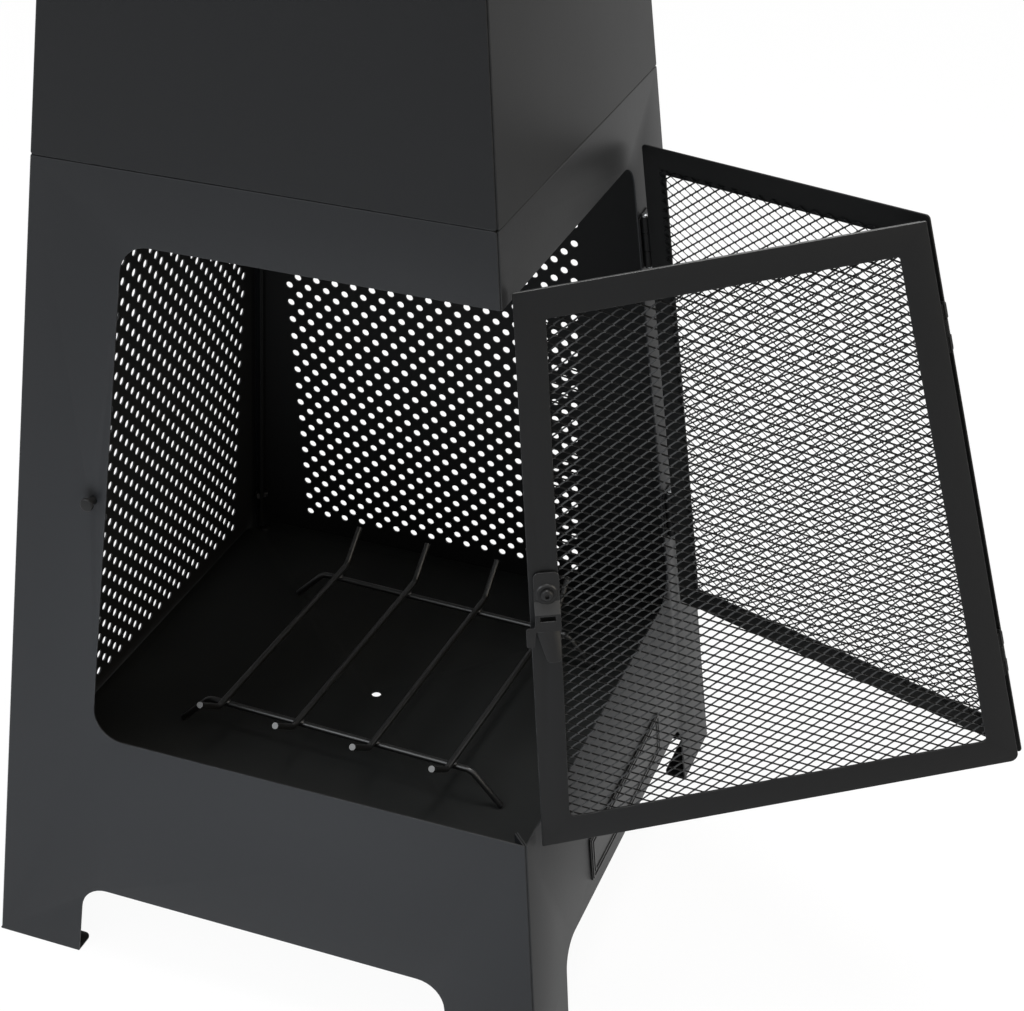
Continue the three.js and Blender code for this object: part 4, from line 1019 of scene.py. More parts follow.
@dataclass
class Perforation:
    """A block of round holes in staggered rows, as a drilling recipe."""

    middle: float
    lowest_row: float
    hole_radius: float
    half_pitch: float = 0.0075
    columns: int = 31
    rows: int = 48
    sides: int = 20
    drill_low: float = -0.0026
    drill_high: float = 0.0012

    def recipe(self) -> Recipe:
        """Builds the tree that drills the block of holes through a sheet."""
        recipe = Recipe(
            "perforation", half_pitch=self.half_pitch, hole_radius=self.hole_radius, columns=self.columns,
            rows=self.rows, place=(0.0, 0.0, 0.0), turn=(0.0, 0.0, 0.0),
        )
        source = recipe.source
        pitch = source["Half Pitch"]
        points = recipe.chequer(pitch, pitch, source["Columns"], source["Rows"])
        length = self.drill_high - self.drill_low
        shape = {"Vertices": self.sides, "Radius": source["Hole Radius"], "Depth": length}
        middle = (0, 0, (self.drill_high + self.drill_low) / 2)
        drill = recipe.moved(recipe.out("GeometryNodeMeshCylinder", shape), Translation=middle)
        drills = recipe.real(recipe.copies(points, drill))
        placed = recipe.moved(drills, Translation=source["Place"], Rotation=source["Turn"])
        both = {"Mesh 1": source["Geometry"], "Mesh 2": placed}
        cut = recipe.out("GeometryNodeMeshBoolean", both, operation="DIFFERENCE", solver="MANIFOLD")
        recipe.finish(cut, BODY_COAT)
        return recipe

    def drilled(self, panel: Solid, side: Side) -> Solid:
        """Drills the block through one panel.

        Args:
            panel: The panel in its place.
            side: The face that it is on.

        Returns:
            The perforated panel.
        """
        height = self.lowest_row + (self.rows - 1) * self.half_pitch / 2
        place = SIZES.face(side) @ Matrix.Translation((self.middle, height, 0))
        at, turn = tuple(place.translation), tuple(place.to_euler())
        return Solid(self.recipe().run(panel.mesh, place=at, turn=turn))


@dataclass
class Firebox:
    """The four folded panels and the floor plate."""

    opening_radius: float = 0.0195
    arch_height: float = 0.0563
    foot_width: float = 0.0625
    arch_radius: float = 0.020
    foot_radius: float = 0.005
    fold_radius: float = 0.0006
    edge: float = 0.00022
    overrun: float = 0.02
    ledge_depth: float = 0.026
    ledge_stop: float = 0.001
    floor_sheet: float = 0.0015
    floor_gap: float = 0.0008
    drain_radius: float = 0.0034
    drain_place: float = 0.0016
    screw_inset: float = 0.016
    flange_room: float = 0.0018
    hole_radius: float = 0.00275
    bolt_inset: float = 0.0109
    seam_bolt_inset: float = 0.009
    low_bolt_drop: float = 0.0285
    high_bolt_rise: float = 0.0223
    catch_beside: float = 0.009
    catch_drop: float = 0.1692
    seam_chamfer: float = 0.002
    chamfer_past: float = 0.004
    seam_edge: float = 0.0007
    corner_drill: float = 0.005
    perforations: dict[Side, Perforation] = field(default_factory=lambda: {
        Side.BACK: Perforation(middle=0.0245, lowest_row=0.1403, hole_radius=0.00275),
        Side.LEFT: Perforation(middle=-0.0308, lowest_row=0.1370, hole_radius=0.00295),
    })

    def build(self) -> None:
        """Builds and hangs the firebox's pieces."""
        for side in Side:
            panel = self._panel(side)
            if side in self.perforations:
                panel = self.perforations[side].drilled(panel, side)
            name = f"{side.label}_panel_sheet"
            darkened_inside(finished(panel, name, Body.FIREPLACE, BODY_COAT))
        finished(self._floor(), "floor_plate_sheet", Body.FIREPLACE, FLOOR_LIT_COAT)

    def seam_chamfers(self, z: float, way: int) -> list[Solid]:
        """Cuts for the small chamfers of a sheet's outer corners at a seam.

        Args:
            z: Height of the sheet's edge.
            way: 1 where the sheet is above the edge, -1 where it is below.

        Returns:
            One cut for each corner of a front sheet.
        """
        size, past, edge = self.seam_chamfer, self.chamfer_past, SIZES.half(z)
        corners = (
            (edge - size, 0), (edge - size, -past), (edge + past, -past),
            (edge + past, size + past), (edge, size),
        )
        cuts = []
        for hand in (1, -1):
            outline = [Vector((hand * x, z + way * rise)) for x, rise in corners]
            cut = Solid.prism(outline, edge - size, edge + past)
            cuts.append(cut.moved(Matrix.Rotation(pi / 2, 4, "X")))
        return cuts

    def plan(self) -> list[Vector]:
        """Plan of a folded panel at the ground, with a flange along each corner's diagonal."""
        edge, end = SIZES.base_width / 2, SIZES.corner_end
        reach, wall = SIZES.corner_flange * DIAGONAL, SIZES.sheet * DIAGONAL
        right = [
            (end, -edge, self.fold_radius),
            (end - reach, -edge + reach, 0),
            (end - reach - wall, -edge + reach - wall, 0),
            (end - SIZES.sheet - 2 * wall, -edge + SIZES.sheet, 0),
        ]
        left = [(-x, y, radius) for x, y, radius in reversed(right)]
        return rounded([*right, *left], 5)

    def level_flange(self, low: float) -> Solid:
        """A level flange turned in from the face, mitred at the corners."""
        edge, end, depth = SIZES.base_width / 2, SIZES.corner_end, SIZES.seam_flange
        corners = [(-end, -edge), (end, -edge), (end - depth, -edge + depth), (-end + depth, -edge + depth)]
        return Solid.prism([Vector(c) for c in corners], low, low + SIZES.sheet).tapered()

    def shell(self, low: float, high: float) -> Solid:
        """A folded panel between two heights, without its level flanges."""
        return Solid.prism(self.plan(), low, high).tapered()

    def _foot_flange(self, hand: int) -> Solid:
        """The flange turned in under one foot.

        Args:
            hand: 1 for the right foot, -1 for the left one.

        Returns:
            The flange.
        """
        edge, end, depth = SIZES.base_width / 2, SIZES.corner_end, SIZES.foot_flange
        corners = [
            (hand * (edge - self.foot_width), -edge, 0),
            (hand * end, -edge, 0),
            (hand * (end - depth), -edge + depth, 0),
            (hand * (edge - self.foot_width), -edge + depth, self.foot_radius),
        ]
        return Solid.prism(rounded(corners), 0, SIZES.sheet).tapered()

    def _face_cut(self, corners: Sequence[Corner]) -> Solid:
        """A cut through the front face, drawn in x and z."""
        depth = SIZES.base_width / 2 + self.overrun
        cut = Solid.prism(rounded(corners), 0, depth)
        return cut.moved(Matrix.Rotation(pi / 2, 4, "X"))

    def _arch(self) -> Solid:
        """The cut between the feet."""
        foot, top = SIZES.half(0) - self.foot_width, SIZES.half(self.arch_height) - self.foot_width
        drop = SIZES.half(-self.overrun) - self.foot_width
        return self._face_cut([
            (-drop, -self.overrun, 0),
            (drop, -self.overrun, 0),
            (foot, 0, 0),
            (top, self.arch_height, self.arch_radius),
            (-top, self.arch_height, self.arch_radius),
            (-foot, 0, 0),
        ])

    def _opening(self, post: int) -> Solid:
        """The cut of the opening, which leaves a post on the side given and runs out past the other.

        Args:
            post: 1 for a post on the right, -1 for one on the left.

        Returns:
            The cut through the front face.
        """
        low = post * (SIZES.half(SIZES.apron_height) - SIZES.post_width)
        high = post * (SIZES.half(SIZES.opening_top) - SIZES.post_width)
        past = -post * (SIZES.base_width / 2 + self.overrun)
        return self._face_cut([
            (low, SIZES.apron_height, self.opening_radius),
            (past, SIZES.apron_height, 0),
            (past, SIZES.opening_top, 0),
            (high, SIZES.opening_top, self.opening_radius),
        ])

    def _corner_holes(self) -> list[Solid]:
        """Bolt holes through the corner flanges."""
        holes = []
        drill = Solid.drill(self.hole_radius, reach=self.corner_drill)
        inset = self.bolt_inset * DIAGONAL
        for z in (SIZES.apron_height - self.low_bolt_drop, SIZES.opening_top + self.high_bolt_rise):
            for hand in (1, -1):
                place = Matrix.Translation((hand * (SIZES.half(z) - inset), -SIZES.half(z) + inset, z))
                turn = UP.rotation_difference(Vector((hand, 1, 0))).to_matrix().to_4x4()
                holes.append(drill.moved(place @ turn))
        return holes

    def _ledge(self) -> Solid:
        """The ledge that carries one side of the floor plate."""
        top = SIZES.floor_top - self.floor_sheet - SIZES.clearance
        reach = SIZES.half(top) - (SIZES.corner_joint + SIZES.corner_flange) * DIAGONAL - self.ledge_stop
        face = -SIZES.half(top - SIZES.sheet) + SIZES.sheet / 2
        back = -SIZES.half(top) + self.ledge_depth
        shelf = Solid.block((-reach, face, top - SIZES.sheet), (reach, back, top))
        at = SIZES.half(SIZES.floor_top) - self.screw_inset
        drill = Solid.drill(self.hole_radius)
        return shelf.minus(*[drill.shifted(hand * at, -at, top) for hand in (1, -1)])

    def _panel(self, side: Side) -> Solid:
        """One folded panel of the firebox in its place.

        Args:
            side: The face that it is on.

        Returns:
            The panel, not yet perforated.
        """
        seam = SIZES.seam
        feet = [self._foot_flange(hand) for hand in (1, -1)]
        body = self.shell(0, seam).minus(self._arch()).plus(*feet, self.level_flange(seam - SIZES.sheet))
        drill = Solid.drill(self.hole_radius).shifted(0, -SIZES.half(seam) + self.seam_bolt_inset, seam)
        body = body.minus(*self._corner_holes(), drill, *self.seam_chamfers(seam, -1))
        if side in (Side.FRONT, Side.BACK):
            body = body.plus(self._ledge())
        if side is Side.FRONT:
            z = SIZES.opening_top - self.catch_drop
            along = -SIZES.half(z) + SIZES.post_width - self.catch_beside
            turn = Matrix.Rotation(pi / 2 - SIZES.lean, 4, "X")
            place = Matrix.Translation((along, -SIZES.half(z), z))
            body = body.minus(self._opening(-1), Solid.drill(self.hole_radius, 24).moved(place @ turn))
        if side is Side.RIGHT:
            body = body.minus(self._opening(1))
        level, face = seam - HAIR, -SIZES.half(seam) + 10 * HAIR
        body = body.softened(self.seam_edge, 3, where=lambda p: p.z > level and p.y < face)
        return body.softened(self.edge, 2, least=40).moved(side.turn)

    def _floor(self) -> Solid:
        """The floor plate with its corners cut clear of the corner flanges."""
        top, sheet = SIZES.floor_top, self.floor_sheet
        edge = SIZES.half(top) - SIZES.sheet / cos(SIZES.lean) - self.floor_gap
        tip = SIZES.half(top - sheet) - SIZES.corner_flange * DIAGONAL
        cut = 2 * edge - 2 * tip + self.flange_room / DIAGONAL
        at = SIZES.half(top) - self.screw_inset
        corners = []
        drills = [Solid.drill(self.drain_radius, 28).shifted(self.drain_place, 0, top)]
        for sx, sy in CORNERS.values():
            along, down = Vector((sx * (edge - cut), sy * edge)), Vector((sx * edge, sy * (edge - cut)))
            corners += [along, down] if sx * sy < 0 else [down, along]
            drills.append(Solid.drill(self.hole_radius).shifted(sx * at, sy * at, top))
        return Solid.prism(corners, top - sheet, top).minus(*drills).softened(self.edge)


@dataclass
class NamePlate:
    """The plate on the right apron: blank inside a double raised border."""

    width: float = 0.155
    height: float = 0.035
    base: float = 0.069
    sheet: float = 0.001
    border: float = 0.0016
    border_inset: float = 0.0014
    border_pitch: float = 0.0034
    border_rise: float = 0.0006
    radius: float = 0.002
    border_radii: Span = (0.0008, 0.0005)
    edge: float = 0.0002

    def _outline(self, inset: float, radius: float) -> list[Vector]:
        """A rectangle inside the plate's edge."""
        wide = self.width / 2 - inset
        corners = [(-wide, inset), (wide, inset), (wide, self.height - inset), (-wide, self.height - inset)]
        return rounded([(x, y, radius) for x, y in corners])

    def build(self) -> None:
        """Builds and hangs the plate."""
        low = SIZES.clearance
        top = low + self.sheet + self.border_rise
        outside, inside = self.border_radii
        solid = Solid.prism(self._outline(0, self.radius), low, low + self.sheet)
        for inset in (self.border_inset, self.border_inset + self.border_pitch):
            ring = Solid.prism(self._outline(inset, outside), low + self.sheet / 2, top)
            inner = Solid.prism(self._outline(inset + self.border, inside), low, top + self.sheet)
            solid = solid.plus(ring.minus(inner))
        solid = solid.softened(self.edge, 2, least=40)
        place = SIZES.face(Side.RIGHT) @ Matrix.Translation((0, SIZES.slope(self.base), 0))
        finished(solid.moved(place), "name_plate_blank", Body.FIREPLACE, BLACK_OXIDE)


@dataclass
class Chimney:
    """Two tiers of panels folded like the firebox's, the rain cap and its four straps."""

    firebox: Firebox
    cap_edge: float = 0.0004
    sheet_edge: float = 0.0005

    def build(self) -> None:
        """Builds and hangs the chimney's pieces."""
        lower = (SIZES.seam + SIZES.clearance, SIZES.tier_seam)
        upper = (SIZES.tier_seam + SIZES.clearance, SIZES.chimney_top)
        for tier, (low, high) in (("lower", lower), ("upper", upper)):
            panel = self._panel(low, high)
            for side in Side:
                name = f"chimney_{tier}_{side.label}_sheet"
                darkened_inside(finished(panel.moved(side.turn), name, Body.FIREPLACE, CHIMNEY_COAT))
        for side in Side:
            node = f"cap_post_{side.label}"
            strap = Solid.from_cad(node).softened(self.cap_edge, 3, least=40)
            finished(strap, f"{node}_strap", Body.FIREPLACE, CHIMNEY_COAT)
        cap = Solid.from_cad("rain_cap").softened(self.cap_edge, 3, least=15)
        finished(cap, "rain_cap_sheet", Body.FIREPLACE, CHIMNEY_COAT)

    def _panel(self, low: float, high: float) -> Solid:
        """One front panel of a tier.

        Args:
            low: Height of its foot.
            high: Height of its top.

        Returns:
            The panel on the front.
        """
        firebox = self.firebox
        flanges = [firebox.level_flange(z) for z in (low, high - SIZES.sheet)]
        drill = Solid.drill(firebox.hole_radius)
        cuts = [drill.shifted(0, -SIZES.half(z) + firebox.seam_bolt_inset, z) for z in (low, high)]
        cuts += firebox.seam_chamfers(low, 1) + firebox.seam_chamfers(high, -1)
        return firebox.shell(low, high).plus(*flanges).minus(*cuts).softened(self.sheet_edge, 3, least=40)


@dataclass
class Fasteners:
    """Hex bolts in the corners and seams, and domed screws in the floor plate."""

    firebox: Firebox
    shank_radius: float = 0.0024
    head_radius: float = 0.004
    head_height: float = 0.0026
    tail: float = 0.0015
    shank_sides: int = 20
    dome_sides: int = 28
    dome: Profile = ((0.0, 1.0), (0.45, 0.93), (0.75, 0.74), (0.93, 0.45), (1.0, 0.0))
    hex_head: Profile = ((0.0, 1.0), (0.78, 1.0), (1.0, 0.86))
    hex_nut: Profile = ((0.0, 0.86), (0.2, 1.0), (0.8, 1.0), (1.0, 0.86))

    def build(self) -> None:
        """Builds and hangs all bolts and screws."""
        grip = 2 * SIZES.sheet
        self._hang("corner_bolts", *self._corner_places(), grip + SIZES.corner_joint, False)
        self._hang("seam_bolts", *self._seam_places(), grip + SIZES.clearance, False)
        at = SIZES.half(SIZES.floor_top) - self.firebox.screw_inset
        screws = [(Vector((sx * at, sy * at, SIZES.floor_top)), UP) for sx, sy in CORNERS.values()]
        grip = self.firebox.floor_sheet + SIZES.clearance + SIZES.sheet
        self._hang("floor_screws", screws, [f"floor_screw_{name}" for name in CORNERS], grip, True)

    def _corner_places(self) -> tuple[Places, list[str]]:
        """Seats and directions of the corner bolts, and their nodes in the same order."""
        places, nodes = [], []
        low = SIZES.apron_height - self.firebox.low_bolt_drop
        high = SIZES.opening_top + self.firebox.high_bolt_rise
        across = Vector((1, 1, 0)).normalized()
        inset = self.firebox.bolt_inset * DIAGONAL
        for side, corner in zip(Side, CORNERS):
            for level, z in (("low", low), ("high", high)):
                seat = Vector((SIZES.half(z) - inset, -SIZES.half(z) + inset, z))
                seat += across * (SIZES.sheet + SIZES.corner_joint / 2)
                places.append((side.turn @ seat, side.turn.to_3x3() @ across))
                nodes.append(f"bolt_{level}_{corner}")
        return places, nodes

    def _seam_places(self) -> tuple[Places, list[str]]:
        """Seats and directions of the seam bolts, and their nodes in the same order."""
        places, nodes = [], []
        lift = SIZES.clearance + SIZES.sheet
        for side in Side:
            for seam, z in (("seam", SIZES.seam), ("tier", SIZES.tier_seam)):
                seat = Vector((0, -SIZES.half(z) + self.firebox.seam_bolt_inset, z + lift))
                places.append((side.turn @ seat, UP))
                nodes.append(f"bolt_{seam}_{side.label}")
        return places, nodes

    def _recipe(self, domed: bool) -> Recipe:
        """Builds the tree that sets out bolts, or domed screws, on points with a direction.

        Args:
            domed: True for screws, False for bolts.

        Returns:
            The recipe.
        """
        recipe = Recipe(
            "domed_screws" if domed else "hex_bolts", shank_radius=self.shank_radius,
            head_radius=self.head_radius, head_height=self.head_height, tail=self.tail, grip=0.0,
        )
        source = recipe.source
        height, gap = source["Head Height"], SIZES.clearance
        nut_top = recipe.maths("SUBTRACT", recipe.maths("MULTIPLY", source["Grip"], -1.0), gap)
        nut_low = recipe.maths("SUBTRACT", nut_top, height)
        end = recipe.maths("SUBTRACT", nut_low, source["Tail"])
        head, sides = (self.dome, self.dome_sides) if domed else (self.hex_head, 6)
        parts = self._rings(recipe, gap, head, sides) + self._rings(recipe, nut_low, self.hex_nut, 6)
        middle = recipe.maths("ADD", gap, recipe.maths("MULTIPLY", height, 0.5))
        long = recipe.maths("SUBTRACT", middle, end)
        shape = {"Vertices": self.shank_sides, "Radius": source["Shank Radius"], "Depth": long}
        lift = recipe.maths("ADD", end, recipe.maths("MULTIPLY", long, 0.5))
        shank = recipe.out("GeometryNodeMeshCylinder", shape)
        parts.append(recipe.moved(shank, Translation=recipe.vector(z=lift)))
        facing = recipe.out("GeometryNodeInputNamedAttribute", {"Name": "facing"}, data_type="FLOAT_VECTOR")
        turn = recipe.out("FunctionNodeAlignRotationToVector", {"Vector": facing}, axis="Z")
        points = recipe.out("GeometryNodeMeshToPoints", {"Mesh": source["Geometry"]})
        recipe.finish(recipe.copies(points, recipe.joined(parts), Rotation=turn), BLACK_OXIDE)
        return recipe

    @staticmethod
    def _rings(recipe: Recipe, base: Any, profile: Profile, sides: int) -> list[Socket]:
        """Builds a head or a nut of stacked rings.

        Args:
            recipe: The recipe that the rings belong to.
            base: Height of the lowest ring's foot.
            profile: Shares of the head's height and radius, from its foot up.
            sides: Number of sides.

        Returns:
            The rings.
        """
        radius, height = recipe.source["Head Radius"], recipe.source["Head Height"]
        rings = []
        for (low, foot), (high, top) in zip(profile, profile[1:]):
            cone = recipe.out("GeometryNodeMeshCone", {
                "Vertices": sides,
                "Radius Bottom": recipe.maths("MULTIPLY", radius, foot),
                "Radius Top": recipe.maths("MULTIPLY", radius, top),
                "Depth": recipe.maths("MULTIPLY", height, high - low),
            })
            lift = recipe.maths("ADD", base, recipe.maths("MULTIPLY", height, low))
            rings.append(recipe.moved(cone, Translation=recipe.vector(z=lift)))
        return rings

    def _hang(self, name: str, places: Places, nodes: list[str], grip: float, domed: bool) -> None:
        """Runs the recipe on a set of places and hangs the result.

        Args:
            name: The piece's name.
            places: Seat and direction of each bolt or screw.
            nodes: The CAD nodes that they stand for.
            grip: Thickness of what they hold.
            domed: True for screws with domed heads, False for hex bolts.
        """
        mesh = bpy.data.meshes.new(name)
        mesh.from_pydata([place for place, _ in places], [], [])
        facing = mesh.attributes.new("facing", "FLOAT_VECTOR", "POINT")
        for i, (_, across) in enumerate(places):
            facing.data[i].vector = across
        hung(self._recipe(domed).run(mesh, grip=grip), name, Body.FIREPLACE, nodes)


@dataclass
class Grate:
    """The log grate of welded round rod, with turned down feet and turned up tips."""

    rod_radius: float = 0.0022
    height: float = 0.0248
    cross: float = 0.0869
    logs: int = 4
    pitch: float = 0.0574
    side: float = 0.0133
    foot_run: float = 0.0221
    weld_sink: float = 0.0006
    rear_run: float = 0.0135
    rear_tip_run: float = 0.037
    rear_tip_rise: float = 0.0205
    front_run: float = 0.010
    front_tip_run: float = 0.034
    front_tip_rise: float = 0.0175
    bend_radius: float = 0.009
    bend_steps: int = 9
    rod_sides: int = 24
    tip_margin: float = 0.004
    bead_radius: float = 0.0029
    bead_unevenness: float = 0.0007
    bead_shape: Corner = (1.25, 1.0, 0.62)
    bead_grain: float = 420.0
    place: Corner = (0.0125, 0.0042, 0.1213)
    turn: float = -2.13

    def _log_places(self) -> list[float]:
        """Place of each log rod along the cross rods."""
        return [(i - (self.logs - 1) / 2) * self.pitch for i in range(self.logs)]

    def _lines(self) -> list[list[Corner]]:
        """Corner points of each rod, about the grate's middle on the floor."""
        straight = (self.logs - 1) * self.pitch / 2 + self.side
        foot = straight + self.foot_run
        lean = atan2(self.height - self.rod_radius, self.foot_run)
        low = SIZES.clearance + self.rod_radius * cos(lean)
        ends = ((-foot, low), (-straight, self.height), (straight, self.height), (foot, low))
        lines = [[(x, y, z) for x, z in ends] for y in (self.cross, -self.cross)]
        level = self.height + 2 * self.rod_radius - self.weld_sink
        for x in self._log_places():
            lines.append([
                (x, -self.cross - self.front_tip_run, level + self.front_tip_rise),
                (x, -self.cross - self.front_run, level),
                (x, self.cross + self.rear_run, level),
                (x, self.cross + self.rear_tip_run, level + self.rear_tip_rise),
            ])
        return lines

    def _rods(self) -> Recipe:
        """Builds the tree that sweeps rods along bent lines."""
        recipe = Recipe("bent_rods", rod_radius=self.rod_radius, bend_radius=self.bend_radius)
        source = recipe.source
        bend = {"Count": self.bend_steps, "Radius": source["Bend Radius"], "Limit Radius": True}
        bent = recipe.out("GeometryNodeFilletCurve", {"Curve": source["Geometry"], **bend}, mode="POLY")
        circle = {"Resolution": self.rod_sides, "Radius": source["Rod Radius"]}
        section = recipe.out("GeometryNodeCurvePrimitiveCircle", circle)
        sweep = {"Curve": bent, "Profile Curve": section, "Fill Caps": True}
        recipe.finish(recipe.out("GeometryNodeCurveToMesh", sweep), GRATE_COAT)
        return recipe

    def _welds(self) -> Recipe:
        """Builds the tree that puts an uneven weld bead on each crossing."""
        recipe = Recipe("weld_beads", bead_radius=self.bead_radius, unevenness=self.bead_unevenness)
        source = recipe.source
        ball = recipe.out("GeometryNodeMeshIcoSphere", {"Radius": source["Bead Radius"], "Subdivisions": 3})
        points = recipe.out("GeometryNodeMeshToPoints", {"Mesh": source["Geometry"]})
        beads = recipe.real(recipe.copies(points, recipe.moved(ball, Scale=self.bead_shape)))
        noise = recipe.node("ShaderNodeTexNoise", {"Scale": self.bead_grain, "Detail": 1.0}).outputs["Color"]
        centred = recipe.out("ShaderNodeVectorMath", {0: noise, 1: (0.5, 0.5, 0.5)}, operation="SUBTRACT")
        push = {0: centred, "Scale": source["Unevenness"]}
        offset = recipe.out("ShaderNodeVectorMath", push, operation="SCALE")
        uneven = recipe.out("GeometryNodeSetPosition", {"Geometry": beads, "Offset": offset})
        recipe.finish(uneven, GRATE_COAT)
        return recipe

    def build(self) -> None:
        """Builds and hangs the grate."""
        curve = bpy.data.curves.new("rod_lines", "CURVE")
        curve.dimensions = "3D"
        for line in self._lines():
            spline = curve.splines.new("POLY")
            spline.points.add(len(line) - 1)
            for point, place in zip(spline.points, line):
                point.co = (*place, 1)
        spots = bpy.data.meshes.new("weld_spots")
        level = self.height + self.rod_radius - self.weld_sink / 2
        crossings = [(x, y, level) for x in self._log_places() for y in (self.cross, -self.cross)]
        spots.from_pydata(crossings, [], [])
        whole = joined([Solid(self._rods().run(curve)), Solid(self._welds().run(spots))]).mesh
        whole.materials.clear()
        whole.materials.append(GRATE_COAT.material)
        whole.materials.append(BARE_END.material)
        tip = self.cross + min(self.front_tip_run, self.rear_tip_run) - self.tip_margin
        for face in whole.polygons:
            is_end = len(face.vertices) == self.rod_sides and abs(face.center.y) > tip
            face.material_index = int(is_end)
        whole.transform(Matrix.Translation(self.place) @ Matrix.Rotation(radians(self.turn), 4, "Z"))
        hung(whole, "log_grate_rods", Body.GRATE, ["log_grate"], smooth_below=50)


@dataclass
class ExpandedMesh:
    """Expanded sheet: slit and stretched, its strands tilted steps round diamond gaps."""

    across: float = 0.0110
    up: float = 0.0061
    strand_width: float = 0.00092
    strand_sheet: float = 0.0005
    strand_tilt: float = -42.0
    bond_width: float = 0.0021
    bond_height: float = 0.0015
    middle: float = 0.0011

    def recipe(self) -> Recipe:
        """Builds the tree that sets out strands and bonds in a flat field."""
        recipe = Recipe(
            "expanded_mesh", across=self.across, up=self.up, strand_width=self.strand_width,
            strand_sheet=self.strand_sheet, strand_tilt=radians(self.strand_tilt), bond_width=self.bond_width,
            bond_height=self.bond_height, columns=30, rows=130,
        )
        source = recipe.source
        sheet, tilt = source["Strand Sheet"], recipe.vector(source["Strand Tilt"])
        run = recipe.maths("MULTIPLY", source["Across"], 0.5)
        rise = recipe.maths("MULTIPLY", source["Up"], 0.5)
        angle = recipe.maths("ARCTAN2", rise, run)
        squares = recipe.maths("MULTIPLY_ADD", run, run, recipe.maths("MULTIPLY", rise, rise))
        size = recipe.vector(recipe.maths("SQRT", squares), source["Strand Width"], sheet)
        up = recipe.maths("MULTIPLY", rise, 0.5)
        parts = []
        for hand in (1.0, -1.0):
            bar = recipe.moved(recipe.out("GeometryNodeMeshCube", {"Size": size}), Rotation=tilt)
            parts.append(recipe.moved(
                bar, Rotation=recipe.vector(z=recipe.maths("MULTIPLY", angle, hand)),
                Translation=recipe.vector(recipe.maths("MULTIPLY", run, 0.5 * hand), up),
            ))
        size = recipe.vector(source["Bond Width"], source["Bond Height"], sheet)
        parts.append(recipe.moved(recipe.out("GeometryNodeMeshCube", {"Size": size}), Rotation=tilt))
        points = recipe.chequer(run, rise, source["Columns"], source["Rows"])
        recipe.finish(recipe.copies(points, recipe.joined(parts)), MESH_COAT)
        return recipe

    def panel(self, outline: Sequence[Vector]) -> Solid:
        """Cuts a field of mesh to an outline.

        Args:
            outline: The corners of the cut, in the leaf's plane, counted round the outline.

        Returns:
            The mesh in the leaf's plane, at its depth behind the frame.
        """
        xs, ys = [p.x for p in outline], [p.y for p in outline]
        columns = int((max(xs) - min(xs)) / self.across * 2) + 5
        rows = int((max(ys) - min(ys)) / self.up * 2) + 4
        mesh = self.recipe().run(bpy.data.meshes.new("seed"), columns=columns, rows=rows)
        middle = Vector(((max(xs) + min(xs)) / 2, (max(ys) + min(ys)) / 2, self.middle))
        mesh.transform(Matrix.Translation(middle))
        work = bmesh.new()
        work.from_mesh(mesh)
        centre = sum(outline, Vector((0, 0))) / len(outline)
        for a, b in zip(outline, [*outline[1:], outline[0]]):
            along = (b - a).normalized()
            out = Vector((along.y, -along.x))
            out = -out if out.dot(centre - a) > 0 else out
            everything = [*work.verts, *work.edges, *work.faces]
            cut = bmesh.ops.bisect_plane(
                work, geom=everything, dist=HAIR / 100, plane_co=(*a, 0), plane_no=(*out, 0),
                clear_outer=True,
            )
            rims = [item for item in cut["geom_cut"] if isinstance(item, bmesh.types.BMEdge)]
            bmesh.ops.holes_fill(work, edges=rims, sides=0)
        work.to_mesh(mesh)
        work.free()
        return Solid(mesh)


